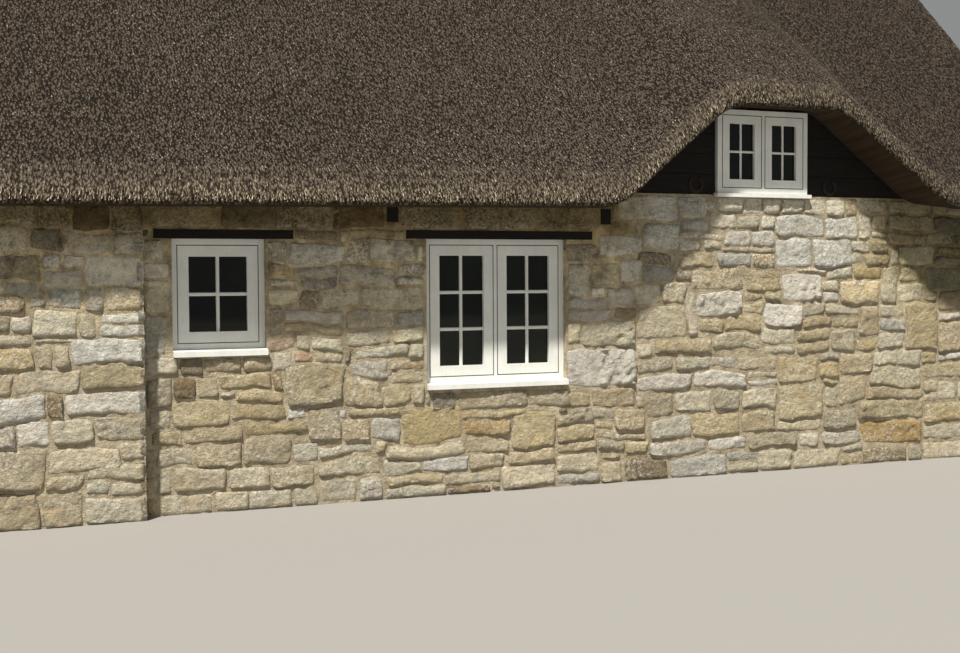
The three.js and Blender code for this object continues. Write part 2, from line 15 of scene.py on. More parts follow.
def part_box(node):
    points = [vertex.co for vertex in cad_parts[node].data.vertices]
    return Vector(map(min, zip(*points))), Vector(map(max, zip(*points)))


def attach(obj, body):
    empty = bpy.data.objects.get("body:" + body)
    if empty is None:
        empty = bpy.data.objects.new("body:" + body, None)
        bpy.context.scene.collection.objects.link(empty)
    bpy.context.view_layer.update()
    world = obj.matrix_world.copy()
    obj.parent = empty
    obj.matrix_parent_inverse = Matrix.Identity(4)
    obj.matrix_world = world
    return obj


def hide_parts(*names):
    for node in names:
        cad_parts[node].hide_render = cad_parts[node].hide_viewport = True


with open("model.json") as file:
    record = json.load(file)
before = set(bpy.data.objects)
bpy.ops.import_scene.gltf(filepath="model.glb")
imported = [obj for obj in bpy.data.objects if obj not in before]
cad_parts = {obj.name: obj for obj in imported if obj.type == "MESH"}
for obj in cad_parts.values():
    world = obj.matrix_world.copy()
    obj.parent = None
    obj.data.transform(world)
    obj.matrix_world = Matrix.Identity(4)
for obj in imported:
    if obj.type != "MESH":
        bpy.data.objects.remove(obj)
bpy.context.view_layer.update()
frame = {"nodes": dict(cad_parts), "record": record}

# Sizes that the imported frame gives
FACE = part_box("back_wall")[1].y
PROUD_FACE = -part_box("front_wall")[0].y
HALF_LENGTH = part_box("front_wall")[1].x
WALL_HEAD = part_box("front_wall")[1].z
HALF_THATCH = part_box("thatch_front")[1].x
DRIP = -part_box("thatch_front")[0].y
CHIMNEY_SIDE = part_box("chimney_stack")[1].y

CLEARANCE = 0.0003  # kept between bodies that stand against each other
PAST_CHIMNEY = HALF_LENGTH - 0.5  # the chimney stack is 0.5 deep, and the coat is notched round it

# Sizes of the thatch, as the solids have them
PITCH = math.radians(47)
SLOPE = math.tan(PITCH)
EAVE_HEIGHT = 1.945
EAVE_RISE = 0.012
LIP = 0.185
SOFFIT_RISE = 0.16
SPLAY = 0.1  # how far the arch's right side leans in, from the lip to the wall
SPLAY_FROM = 0.14
HOOD_RISE = 0.7
HOOD_BLEND = 0.22
SET_BACK = 0.095
SET_BACK_REACH = 0.9
THATCH_UPRIGHT = 0.44
LEVEL_ABOVE = 2.2
ARCH_CENTRE = 2.796
ARCH_CROWN = 2.705
ARCH_ROUNDING = 0.15
ARCH_LEFT = (0.45, 1.41)
ARCH_RIGHT = (0.54, 1.5)
APEX = EAVE_HEIGHT + LIP + DRIP * SLOPE
EAVE_OUT = DRIP - FACE
SWELL_DEEP = 0.022
SWELL_ALONG = 0.784
SWELL_UP = 0.9
SWELL_WANDER = (2, 1.5)  # how far each row of swells wanders, and over how many of them
SWELL_EVERY = (2.3, 1.7)
SWELL_FROM = (0.05, 0.4)
SWELL_TO = (2.2, 2.56)
SKIN = 0.015  # how far the reed ends stand proud of the coat's own surface
PROUD_EDGE = -1.85  # the thicker stretch of the front wall ends here

rng = random.Random(47)


# Finishes


def paint(red, green, blue):
    """A colour given as it looks on paper, 0 to 255, as the shader wants it."""
    linear = [((c / 255 + 0.055) / 1.055) ** 2.4 if c > 10 else c / 3294 for c in (red, green, blue)]
    return (*linear, 1.0)


def new_finish(name, roughness=0.8, metallic=0.0, specular=0.5):
    material = bpy.data.materials.new(name)
    material.use_nodes = True
    tree = material.node_tree
    shader = tree.nodes["Principled BSDF"]
    shader.inputs["Roughness"].default_value = roughness
    shader.inputs["Metallic"].default_value = metallic
    shader.inputs["Specular IOR Level"].default_value = specular
    return material, tree, shader


def node(tree, kind, settings=None, **inputs):
    """A node whose inputs are numbers or other nodes' outputs. An underscore in a name is a space."""
    made = tree.nodes.new(kind)
    for key, value in (settings or {}).items():
        setattr(made, key, value)
    for key, value in inputs.items():
        plug(tree, made.inputs[key.replace("_", " ")], value)
    return made


def plug(tree, socket, value):
    if isinstance(value, bpy.types.NodeSocket):
        tree.links.new(value, socket)
    else:
        socket.default_value = value


def object_place(tree, stretch=(1, 1, 1), turn=(0, 0, 0)):
    """Object coordinates, stretched and turned for one pattern."""
    place = node(tree, "ShaderNodeTexCoord").outputs["Object"]
    return node(tree, "ShaderNodeMapping", Vector=place, Scale=stretch, Rotation=turn).outputs[0]


def axes(tree, vector):
    return list(node(tree, "ShaderNodeSeparateXYZ", Vector=vector).outputs)


def between(tree, value, low, high, start=0.0, end=1.0):
    """Goes from start to end as a value goes from low to high."""
    made = node(tree, "ShaderNodeMapRange", Value=value)
    for socket, setting in zip(list(made.inputs)[1:5], (low, high, start, end)):
        plug(tree, socket, setting)
    return made.outputs[0]


def cloud(tree, place, scale, detail=3, roughness=0.55):
    found = node(tree, "ShaderNodeTexNoise", Vector=place, Scale=scale, Detail=detail, Roughness=roughness)
    return found.outputs["Fac"]


def cells(tree, place, scale, feature="F1"):
    found = node(tree, "ShaderNodeTexVoronoi", {"feature": feature}, Vector=place, Scale=scale)
    return found.outputs["Distance"]


def ramp(tree, factor, *stops):
    """Greys or colours over a factor: each stop is (place, value)."""
    made = node(tree, "ShaderNodeValToRGB", Fac=factor)
    band = made.color_ramp
    while len(band.elements) < len(stops):
        band.elements.new(0.5)
    for element, (place, value) in zip(band.elements, stops):
        element.position = place
        element.color = value if isinstance(value, tuple) else (value, value, value, 1)
    return made.outputs["Color"]


def blend(tree, factor, first, second, mode="MIX"):
    made = tree.nodes.new("ShaderNodeMix")
    made.data_type = "RGBA"
    made.blend_type = mode
    plug(tree, made.inputs[0], factor)
    plug(tree, made.inputs[6], first)
    plug(tree, made.inputs[7], second)
    return made.outputs[2]


def sums(tree, operation, first, second):
    made = tree.nodes.new("ShaderNodeMath")
    made.operation = operation
    plug(tree, made.inputs[0], first)
    plug(tree, made.inputs[1], second)
    return made.outputs[0]


def relief(tree, shader, height, distance, strength=1.0):
    made = node(tree, "ShaderNodeBump", Height=height, Distance=distance, Strength=strength)
    tree.links.new(made.outputs["Normal"], shader.inputs["Normal"])


def colour(tree, shader, value):
    tree.links.new(value, shader.inputs["Base Color"])


def stone_finish():
    """Worn rubble: each stone's own tone, with mottling, lichen and dark pits."""
    material, tree, shader = new_finish("rubble_stone", 0.92, specular=0.2)
    place = object_place(tree)
    stone = node(tree, "ShaderNodeAttribute", {"attribute_name": "tone"})
    mottle = ramp(tree, cloud(tree, place, 16, 6, 0.65), (0.3, 0.66), (0.7, 1.14))
    base = blend(tree, 1.0, stone.outputs["Color"], mottle, "MULTIPLY")
    rust = ramp(tree, cloud(tree, object_place(tree, (1, 1, 2.2)), 5.5, 4), (0.56, 0.0), (0.74, 0.35))
    base = blend(tree, rust, base, paint(190, 152, 98))
    lichen = ramp(tree, cloud(tree, place, 46, 7, 0.78), (0.5, 0.0), (0.6, 0.75))
    patch = ramp(tree, cloud(tree, place, 3.1, 3), (0.4, 0.0), (0.6, 1.0))
    lichen = blend(tree, 1.0, lichen, patch, "MULTIPLY")
    base = blend(tree, lichen, base, paint(222, 219, 206))
    base = weathered_and_shaded(tree, place, base, stone.outputs["Alpha"])
    grain = cloud(tree, place, 160, 4, 0.7)
    pits = ramp(tree, cloud(tree, place, 85, 5, 0.75), (0.3, 0.5), (0.45, 1.0))
    base = blend(tree, 0.55, base, blend(tree, 1.0, base, pits, "MULTIPLY"))
    colour(tree, shader, base)
    height = sums(tree, "ADD", sums(tree, "MULTIPLY", grain, 0.3), cloud(tree, place, 36, 6, 0.62))
    relief(tree, shader, height, 0.03, 1.0)
    return material


# Where the walls are weathered and where painted shade darkens them, as heights, and as places along a long
# wall seen from outside
STAINED_AND_SHADED = (1.05, 1.5)
HEAD_SHADE_FROM = (1.68, 1.2)  # the painted shade on the wall's head starts here, and lower at the far right
HEAD_SHADE_DEEP = 0.2
FAR_RIGHT = (3.6, 4.4)
SHELTERED_AND_SHADED = (0.7, 1.3)  # how far from the dormer's middle the thatch shelters and shades the wall
# how far from the dormer's middle the painted shade on the wall's head begins
HEAD_SHADE_CLEAR_OF_DORMER = (0.9, 1.3)
GABLE_SHARE = 0.3  # the gables have less of the stain and of its painted shade tint


def stained_and_shaded(tree, place, base, crusted, sheltered_and_shaded):
    """Blotches and pale crusts, with a warm tint that is painted shade: crusted is a stone's own share,
    sheltered_and_shaded says how far the eave covers it.
    """
    stain = ramp(tree, cloud(tree, place, 7.5, 7, 0.75), (0.38, 0.55), (0.48, 0.95), (0.62, 1.25))
    own = ramp(tree, crusted, (0.1, 1.2), (0.2, 0.7), (0.5, 1.2), (0.95, 1.9))
    stain = blend(tree, 1.0, stain, own, "MULTIPLY")
    stain = blend(tree, between(tree, sheltered_and_shaded, 0.0, 1.0, 0.2, 1.0), paint(250, 250, 250), stain)
    speckle = ramp(tree, cloud(tree, place, 60, 7, 0.8), (0.47, 0.0), (0.56, 0.95))
    patches = ramp(tree, cloud(tree, place, 6, 4), (0.4, 0.45), (0.56, 1.0))
    patches = blend(tree, 1.0, patches, between(tree, crusted, 0.15, 0.6), "MULTIPLY")
    worn = blend(tree, 1.0, base, stain, "MULTIPLY")
    # A warm tint where the eave covers the wall: partly brown run-off from the thatch, partly painted shade
    # colour
    worn = blend(tree, sheltered_and_shaded, worn, blend(tree, 1.0, worn, paint(255, 251, 238), "MULTIPLY"))
    return blend(tree, blend(tree, 1.0, speckle, patches, "MULTIPLY"), worn, paint(226, 223, 210))


def weathered_and_shaded(tree, place, base, crusted):
    """Under the eave each stone is dull or crusted pale, and the wall's head is darkened almost to black with
    painted shade.
    """
    x, y, z = axes(tree, object_place(tree))
    side = sums(tree, "MULTIPLY", x, sums(tree, "SIGN", sums(tree, "MULTIPLY", y, -1.0), 0))
    from_dormer = sums(tree, "ABSOLUTE", sums(tree, "SUBTRACT", side, ARCH_CENTRE), 0)
    worn = stained_and_shaded(tree, place, base, crusted, between(tree, from_dormer, *SHELTERED_AND_SHADED))
    long_wall = between(tree, sums(tree, "ABSOLUTE", y, 0), FACE - 0.2, FACE - 0.1)
    share = between(tree, z, *STAINED_AND_SHADED)
    share = sums(tree, "MULTIPLY", share, between(tree, long_wall, 0.0, 1.0, GABLE_SHARE, 1.0))
    base = blend(tree, share, base, worn)
    # Painted shade on the wall's head under the eave: it reaches lower at the far right and stays off the
    # sunlit patch under the dormer
    low = between(tree, side, *FAR_RIGHT, *HEAD_SHADE_FROM)
    head = between(tree, z, low, sums(tree, "ADD", low, HEAD_SHADE_DEEP))
    head = sums(tree, "MULTIPLY", head, between(tree, from_dormer, *HEAD_SHADE_CLEAR_OF_DORMER))
    head = sums(tree, "MULTIPLY", head, long_wall)
    shade = blend(tree, between(tree, side, *FAR_RIGHT), paint(180, 172, 148), paint(174, 173, 162))
    return blend(tree, head, base, blend(tree, 1.0, base, shade, "MULTIPLY"))


MORTAR_SHARE = 0.0  # mortar has no crust


def mortar_finish():
    material, tree, shader = new_finish("lime_mortar", 0.95, specular=0.15)
    place = object_place(tree)
    base = ramp(
        tree, cloud(tree, place, 11, 7, 0.65), (0.3, paint(128, 117, 97)), (0.5, paint(166, 154, 130)),
        (0.7, paint(196, 185, 160)),
    )
    colour(tree, shader, weathered_and_shaded(tree, place, base, MORTAR_SHARE))
    lumps = cloud(tree, place, 26, 5, 0.65)
    height = sums(tree, "ADD", lumps, sums(tree, "MULTIPLY", cells(tree, place, 120), 0.3))
    relief(tree, shader, height, 0.014, 1.0)
    return material


def reed_finish(name, dark, light, tips, *cut_tones):
    """Cut reed ends, each with its own tone: paler where they are cut upright, duller up the slope, and
    darkened toward the right with painted shade.
    """
    material, tree, shader = new_finish(name, 0.9, specular=0.15)
    shade = node(tree, "ShaderNodeAttribute", {"attribute_name": "shade"}).outputs["Fac"]
    base = ramp(tree, shade, (0.0, dark), (0.65, light), (0.9, light), (1.0, tips))
    if cut_tones:
        cut = ramp(tree, shade, *zip((0.0, 0.55, 1.0), cut_tones))
        upright = node(tree, "ShaderNodeAttribute", {"attribute_name": "upright"}).outputs["Fac"]
        base = blend(tree, upright, base, cut)
    x, _, z = axes(tree, object_place(tree))
    base = blend(tree, 1.0, base, between(tree, z, 1.95, 4.2, 1.12, 0.78), "MULTIPLY")
    # Painted shade: the reeds darken toward the right, over the hood and the slope past it
    base = blend(tree, 1.0, base, between(tree, x, 1.5, 3.9, 1.12, 0.52), "MULTIPLY")
    weather = ramp(tree, cloud(tree, object_place(tree), 0.9, 4), (0.3, 0.78), (0.7, 1.18))
    base = blend(tree, 1.0, base, weather, "MULTIPLY")
    fibre = cloud(tree, object_place(tree, (1, 0.3, 0.3)), 260, 2)
    base = blend(tree, 1.0, base, ramp(tree, fibre, (0.3, 0.7), (0.7, 1.2)), "MULTIPLY")
    colour(tree, shader, base)
    relief(tree, shader, fibre, 0.002, 0.6)
    return material


def thatch_core_finish():
    """The dark coat between the reed ends, with painted shade in the gaps between them."""
    material, tree, shader = new_finish("thatch_core", 1.0, specular=0.05)
    place = object_place(tree, (1, 0.55, 0.55))
    ends = cells(tree, place, 58)
    # Each cell is a reed end, pale in its middle; the dark at its edge is painted shade in the gaps between
    # the ends
    butts = ramp(tree, ends, (0.1, paint(96, 87, 77)), (0.35, paint(66, 58, 51)), (0.6, paint(30, 26, 22)))
    cut = ramp(tree, ends, (0.1, paint(126, 116, 100)), (0.35, paint(98, 89, 76)), (0.6, paint(48, 42, 35)))
    slope = node(tree, "ShaderNodeAttribute", {"attribute_name": "tone"}).outputs["Color"]
    colour(tree, shader, blend(tree, slope, cut, butts))
    relief(tree, shader, sums(tree, "MULTIPLY", ends, -1.0), 0.014, 1.0)
    return material


def soffit_finish():
    """The combed underside of the thatch: long brown reeds running in under the eave."""
    material, tree, shader = new_finish("thatch_soffit", 0.95, specular=0.1)
    strands = cloud(tree, object_place(tree, (1, 0.06, 0.3)), 22, 2, 0.4)
    base = ramp(tree, strands, (0.3, paint(46, 38, 29)), (0.5, paint(54, 46, 35)), (0.72, paint(64, 54, 42)))
    colour(tree, shader, base)
    return material


def white_finish():
    """Off-white paint on joinery, a little grey in patches and rain streaked."""
    material, tree, shader = new_finish("window_paint", 0.42)
    place = object_place(tree)
    grime = ramp(tree, cloud(tree, place, 7, 5), (0.35, paint(222, 224, 218)), (0.7, paint(236, 237, 232)))
    streak = ramp(tree, cloud(tree, object_place(tree, (1, 1, 0.1)), 60, 3), (0.25, 0.93), (0.5, 1.0))
    colour(tree, shader, blend(tree, 1.0, grime, streak, "MULTIPLY"))
    relief(tree, shader, cloud(tree, object_place(tree, (1, 1, 0.3)), 90, 3), 0.0006, 0.5)
    return material


def wood_finish(name, dark, light, run, roughness=0.75, depth=0.003):
    """Sawn timber. run is the grain's direction: X, Y or Z."""
    material, tree, shader = new_finish(name, roughness, specular=0.25)
    squeeze = tuple(0.08 if axis == run else 1.0 for axis in "XYZ")
    grain = cloud(tree, object_place(tree, squeeze), 85, 5, 0.65)
    patch = cloud(tree, object_place(tree, squeeze), 9, 3)
    base = ramp(tree, grain, (0.32, dark), (0.68, light))
    base = blend(tree, 1.0, base, ramp(tree, patch, (0.3, 0.75), (0.7, 1.15)), "MULTIPLY")
    colour(tree, shader, base)
    relief(tree, shader, grain, depth, 0.8)
    return material


def glass_finish():
    """Window glass over an unlit room: its dark colour is painted shade of the room behind, with greenish
    patches of painted reflection.
    """
    material, tree, shader = new_finish("window_glass", 0.04, specular=0.28)
    # Painted shade of the dark room behind the glass, with greenish patches of painted reflection
    depth = cloud(tree, object_place(tree), 3.5, 4)
    colour(tree, shader, ramp(tree, depth, (0.35, paint(6, 8, 6)), (0.7, paint(22, 28, 17))))
    relief(tree, shader, cloud(tree, object_place(tree), 5, 1), 0.0006, 0.25)
    return material


def iron_finish():
    """Old iron: dark scale with rust in the hollows."""
    material, tree, shader = new_finish("rusty_iron", 0.72, metallic=0.35)
    place = object_place(tree)
    scale = cloud(tree, place, 70, 5, 0.65)
    base = ramp(tree, scale, (0.35, paint(30, 26, 23)), (0.55, paint(44, 34, 28)), (0.75, paint(70, 50, 38)))
    colour(tree, shader, base)
    relief(tree, shader, scale, 0.002, 0.8)
    return material


def clay_finish():
    material, tree, shader = new_finish("pot_clay", 0.85, specular=0.25)
    place = object_place(tree)
    base = ramp(
        tree, cloud(tree, place, 11, 5), (0.3, paint(150, 86, 60)), (0.6, paint(186, 112, 80)),
        (0.8, paint(176, 128, 100)),
    )
    soot = ramp(tree, cloud(tree, object_place(tree, (1, 1, 0.4)), 8, 4), (0.5, 0.0), (0.75, 0.55))
    colour(tree, shader, blend(tree, soot, base, paint(62, 54, 48)))
    relief(tree, shader, cloud(tree, place, 120, 3), 0.002, 0.6)
    return material


def flag_finish():
    material, tree, shader = new_finish("floor_flags", 0.8, specular=0.3)
    place = object_place(tree)
    brick = node(
        tree, "ShaderNodeTexBrick", Vector=place, Scale=1.0, Mortar_Size=0.012, Brick_Width=0.7,
        Row_Height=0.5, Color1=paint(150, 140, 122), Color2=paint(128, 120, 106), Mortar=paint(90, 84, 74),
    )
    mottle = ramp(tree, cloud(tree, place, 12, 5), (0.3, 0.8), (0.7, 1.1))
    colour(tree, shader, blend(tree, 1.0, brick.outputs["Color"], mottle, "MULTIPLY"))
    relief(tree, shader, cloud(tree, place, 30, 4), 0.004, 0.7)
    return material


def floor_finish():
    material, tree, shader = new_finish("studio_floor", 0.9, specular=0.2)
    shader.inputs["Base Color"].default_value = paint(146, 144, 140)
    return material


STONE = stone_finish()
MORTAR = mortar_finish()
REED = reed_finish(
    "reed_ends", paint(66, 59, 52), paint(106, 97, 86), paint(160, 149, 132), paint(100, 91, 77),
    paint(158, 146, 125), paint(208, 197, 174),
)
RIDGE_REED = reed_finish("ridge_sedge", paint(74, 62, 48), paint(124, 106, 82), paint(168, 150, 120))
THATCH_CORE = thatch_core_finish()
SOFFIT = soffit_finish()
WHITE = white_finish()
DARK_TIMBER = wood_finish("stained_timber", paint(12, 9, 7), paint(27, 20, 15), "X", 0.75)
TIMBER = wood_finish("aged_timber", paint(92, 66, 44), paint(142, 108, 76), "X", 0.8)
DOOR_PAINT = wood_finish("door_paint", paint(84, 98, 88), paint(104, 118, 106), "Z", 0.5, 0.0012)
HAZEL = wood_finish("hazel_rod", paint(74, 56, 40), paint(122, 98, 70), "X", 0.85)
GLASS = glass_finish()
IRON = iron_finish()
CLAY = clay_finish()
FLAGS = flag_finish()
# dark strip in each sash's gap: a seal, and painted shade of the gap
SEAL_AND_GAP_SHADE = wood_finish("sash_seal_and_gap_shade", paint(30, 30, 29), paint(52, 52, 50), "Z", 0.7, 0.0004)


# Shapes


class Shell:
    """Closed bodies gathered into one mesh."""

    def __init__(self):
        self.vertices = []
        self.faces = []
        self.finishes = []
        self.tones = []

    def add(self, vertices, faces, finish=0, tone=(1, 1, 1, 1), tones=None):
        first = len(self.vertices)
        self.vertices.extend(tuple(v) for v in vertices)
        self.faces.extend(tuple(first + i for i in face) for face in faces)
        self.finishes.extend(finish if isinstance(finish, list) else [finish] * len(faces))
        self.tones.extend(tones or [tone] * len(vertices))

    def piece(self, name, slot, *materials, replaces=(), smooth=None):
        """Makes the object: it rides on the cottage and takes the finishes given. The slot is not used."""
        mesh = bpy.data.meshes.new(name)
        mesh.from_pydata(self.vertices, [], self.faces)
        mesh.polygons.foreach_set("material_index", self.finishes)
        tone = mesh.color_attributes.new("tone", "FLOAT_COLOR", "POINT")
        tone.data.foreach_set("color", np.array(self.tones, np.float32).ravel())
        if smooth is not None:
            mesh.shade_smooth()
            mesh.set_sharp_from_angle(angle=math.radians(smooth))
        made = bpy.data.objects.new(name, mesh)
        return dress(made, slot, *materials, replaces=replaces)


def dress(made, slot, *materials, replaces=()):
    bpy.context.scene.collection.objects.link(made)
    for material in materials:
        made.data.materials.append(material)
    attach(made, "root")
    if replaces:
        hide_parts(*replaces)
    return made


def joined(rows, size, closed=True):
    """Faces between rows of points that follow each other. A closed row's last point joins its first."""
    faces = []
    for row in range(rows - 1):
        a, b = row * size, (row + 1) * size
        for k in range(size if closed else size - 1):
            n = (k + 1) % size
            faces.append((a + k, b + k, b + n, a + n))
    return faces


def flipped(faces):
    return [(a, d, c, b) for a, b, c, d in faces]


def loft(rings):
    """A closed body through rings of points that follow each other."""
    size = len(rings[0])
    last = (len(rings) - 1) * size
    faces = joined(len(rings), size)
    faces += [tuple(range(size)), tuple(range(last, last + size))[::-1]]
    return [point for ring in rings for point in ring], faces


def prism(outline, direction, start, end):
    """An outline of (u, v) pairs, run along an axis: (u, v) is (y, z), (x, z) or (x, y)."""
    spread = {"X": lambda u, v, w: (w, u, v), "Y": lambda u, v, w: (u, w, v), "Z": lambda u, v, w: (u, v, w)}
    at = spread[direction]
    area = sum(a[0] * b[1] - b[0] * a[1] for a, b in zip(outline, outline[1:] + outline[:1]))
    points = list(outline) if (area > 0) != (direction == "Y") else list(outline)[::-1]
    count = len(points)
    vertices = [at(u, v, start) for u, v in points] + [at(u, v, end) for u, v in points]
    sides = [(i, (i + 1) % count, count + (i + 1) % count, count + i) for i in range(count)]
    return vertices, [tuple(range(count))[::-1], *sides, tuple(range(count, 2 * count))]


def tube(path, radius, sides=6):
    """A rod along some points, closed at both ends."""
    path = [Vector(p) for p in path]
    up = Vector((0, 0, 1))
    angles = [2 * math.pi * k / sides for k in range(sides)]
    rings = []
    for i, point in enumerate(path):
        along = (path[min(i + 1, len(path) - 1)] - path[max(i - 1, 0)]).normalized()
        side = along.cross(up if abs(along.z) < 0.9 else Vector((0, 1, 0))).normalized()
        other = side.cross(along)
        rings.append([point + (side * math.cos(a) + other * math.sin(a)) * radius for a in angles])
    return loft(rings)


def lathe(profile, centre, sides=48):
    """A closed profile of (radius, height) pairs turned about a vertical axis."""
    vertices = []
    for s in range(sides):
        angle = 2 * math.pi * s / sides
        for r, z in profile:
            vertices.append((centre[0] + r * math.cos(angle), centre[1] + r * math.sin(angle), centre[2] + z))
    count = len(vertices)
    return vertices, [tuple(i % count for i in face) for face in joined(sides + 1, len(profile))]


# Thatch, built in the front's own frame. inward is the distance in from the drip edge.


def rounded(t):
    r = ARCH_ROUNDING
    if t <= -r:
        return 0.0
    if t < r:
        return (t + r) ** 2 / (4 * r)
    if t < 1 - r:
        return t
    return 1 - (1 + r - t) ** 2 / (4 * r) if t < 1 + r else 1.0


def sweep(x):
    top, base = ARCH_LEFT if x < ARCH_CENTRE else ARCH_RIGHT
    return rounded((base - abs(x - ARCH_CENTRE)) / (base - top))


def drip_edge(x):
    straight = EAVE_HEIGHT + EAVE_RISE * x
    return straight + (ARCH_CROWN - straight) * sweep(x)


def set_back(x):
    """How far the lip stands back from the eave line: the more, the higher it has swept up."""
    return SET_BACK * sweep(x)


def soffit(x, inward):
    share = min(max((inward - SPLAY_FROM) / (EAVE_OUT - SPLAY_FROM), 0), 1)
    lean = SPLAY * share if x > ARCH_CENTRE else 0
    return drip_edge(x + lean) + SOFFIT_RISE * inward


def underside(inward):
    return EAVE_HEIGHT + LIP - THATCH_UPRIGHT + SLOPE * inward


def smoothstep(value, low, high):
    share = min(max((value - low) / (high - low), 0), 1)
    return share * share * (3 - 2 * share)


def swell(x, inward):
    """How deep the hand-dressed coat dips between its crests."""
    u, v = 2 * math.pi * x / SWELL_ALONG, 2 * math.pi * inward / SWELL_UP
    along = (1 + math.sin(u + SWELL_WANDER[0] * math.sin(v / SWELL_EVERY[0]))) / 2
    up = (1 + math.sin(v + SWELL_WANDER[1] * math.sin(u / SWELL_EVERY[1]))) / 2
    fade = smoothstep(inward, *SWELL_FROM) * (1 - smoothstep(inward, *SWELL_TO))
    return SWELL_DEEP * (along + up) / 2 * fade


def thatch_top(x, inward):
    tilt = EAVE_RISE * x * max(1 - inward / LEVEL_ABOVE, 0)
    plain = EAVE_HEIGHT + LIP + tilt + SLOPE * inward
    hood = drip_edge(x) + LIP + HOOD_RISE * inward
    merge = HOOD_BLEND * sweep(x) + 1e-6
    apart = max(merge - abs(plain - hood), 0) / merge
    return max(plain, hood) + apart * apart * merge / 4 - swell(x, inward)


# The lip's round in (inward, height over the drip edge), then the rows up the slope
LIP_ROUND = [
    (0.075, 0.012), (0.045, 0.010), (0.026, 0.016), (0.012, 0.030), (0.004, 0.050), (0.0, 0.078),
    (0.003, 0.108), (0.012, 0.142), (0.030, 0.188),
]
SLOPE_ROWS = [0.06, 0.1, 0.15, 0.21, 0.28, 0.36, 0.45] + [0.45 + 0.1 * k for k in range(1, 26)]


def outer_line(x, to):
    """The coat's outside at x, from the soffit round the lip and up the slope, as (inward, z)."""
    back = set_back(x)
    edge = drip_edge(x) + SOFFIT_RISE * back
    rows = [r for r in SLOPE_ROWS if r < to - 0.04] + [to]
    line = [(inward, edge + up) for inward, up in LIP_ROUND]
    line += [(inward, thatch_top(x, inward)) for inward in rows]
    return [(inward + back * max(1 - inward / SET_BACK_REACH, 0), z) for inward, z in line]


def sunk_line(x, to, depth):
    """The outer line moved inwards by depth."""
    line = outer_line(x, to)
    made = []
    for i, (inward, z) in enumerate(line):
        a = line[max(i - 1, 0)]
        b = line[min(i + 1, len(line) - 1)]
        run, rise = b[0] - a[0], b[1] - a[1]
        length = math.hypot(run, rise)
        made.append((min(inward + rise / length * depth, to), z - run / length * depth))
    return made


ARCH_NEAR = 1.75  # the cross-sections stand closer this near to the arch's middle
ARCH_STEP, PLAIN_STEP = 0.055, 0.12
VERGE_STEPS = ((0.03, 0.012), (0.1, 0.025))  # how near to a verge, and how far apart they stand there


def coat_step(x, from_verge):
    for near, step in VERGE_STEPS:
        if from_verge < near:
            return step
    return ARCH_STEP if abs(x - ARCH_CENTRE) < ARCH_NEAR else PLAIN_STEP


def coat_stations(start, end):
    """Where the coat's cross-sections stand: close together over the dormer and at the rounded verges."""
    stations = [start]
    while stations[-1] < end - 0.001:
        x = stations[-1]
        from_left = x - start if start == -HALF_THATCH else math.inf
        from_right = end - x if end == HALF_THATCH else math.inf
        stations.append(min(x + coat_step(x, min(from_left, from_right)), end))
    return stations


VERGE_ROUND = 0.09
MEETING = 0.0002  # each coat stays this far short of the ridge line


def coat_outside(x, to):
    """The coat under its reed ends, in (y, z): rounded off toward a verge."""
    near = max(VERGE_ROUND - (HALF_THATCH - abs(x)), 0)
    drop = VERGE_ROUND - math.sqrt(max(VERGE_ROUND * VERGE_ROUND - near * near, 0))
    return [(min(inward - DRIP, -MEETING), z) for inward, z in sunk_line(x, to, SKIN + 0.9 * drop)]


LIP_UNDER = 0.1  # the soffit starts this far in from the lip
UNDER_ROWS, SOFFIT_ROWS = 8, 3


def coat_ring(x, to):
    outside = coat_outside(x, to)
    inside = [(outside[-1][0], underside(to))]
    for k in reversed(range(UNDER_ROWS)):
        inward = EAVE_OUT + CLEARANCE + (to - EAVE_OUT) * k / UNDER_ROWS
        inside.append((inward - DRIP, max(underside(inward), soffit(x, inward))))
    lip_end = LIP_UNDER + set_back(x)
    for k in range(SOFFIT_ROWS + 1):
        inward = EAVE_OUT + (lip_end - EAVE_OUT) * k / SOFFIT_ROWS
        inside.append((inward - DRIP, soffit(x, inward)))
    return outside, inside


LIP_TONES = [0.0] * 8 + [0.4, 0.7]  # 0 on the upright cut face of the lip, 1 on the slope


def coat_body(shell, start, end, to, turned):
    """One closed stretch of the coat: the outside in the core finish, the rest in the soffit finish."""
    turn = -1 if turned else 1
    rings = []
    for x in coat_stations(start, end):
        outside, inside = coat_ring(x, to)
        rings.append([(turn * x, turn * y, z) for y, z in outside + inside])
    size = len(rings[0])
    finishes = [0 if 2 <= k < len(outside) - 1 else 1 for k in range(size)] * (len(rings) - 1)
    tones = [(tone, tone, tone, 1) for tone in LIP_TONES + [1.0] * (size - len(LIP_TONES))]
    shell.add(*loft(rings), finishes + [0, 0], tones=tones * len(rings))


def thatch_coats():
    """Each coat is in two stretches, because it stops at the chimney's side on one gable."""
    beside = DRIP - CHIMNEY_SIDE - CLEARANCE
    for name, turned in (("front", False), ("back", True)):
        shell = Shell()
        if turned:
            coat_body(shell, -HALF_THATCH, PAST_CHIMNEY, DRIP, True)
            coat_body(shell, PAST_CHIMNEY, HALF_THATCH, beside, True)
        else:
            coat_body(shell, -HALF_THATCH, -PAST_CHIMNEY, beside, False)
            coat_body(shell, -PAST_CHIMNEY, HALF_THATCH, DRIP, False)
        solid = [f"thatch_{name}"]
        shell.piece(f"reed_coat_{name}", "thatch", THATCH_CORE, SOFFIT, replaces=solid, smooth=50)


# Reed ends, scattered by Geometry Nodes over a helper surface


def reed_end():
    """One reed end: X stands off the thatch and Z runs uphill. Its cut end is slanted."""
    mesh = bpy.data.meshes.new("reed_end")
    tail, left, right, crest = (-0.3, 0, 1), (-0.35, -1, 0), (-0.35, 1, 0), (0.85, 0, 0.32)
    mesh.from_pydata([tail, left, right, crest], [], [(0, 2, 1), (0, 1, 3), (0, 3, 2), (1, 2, 3)])
    return bpy.data.objects.new("reed_end", mesh)


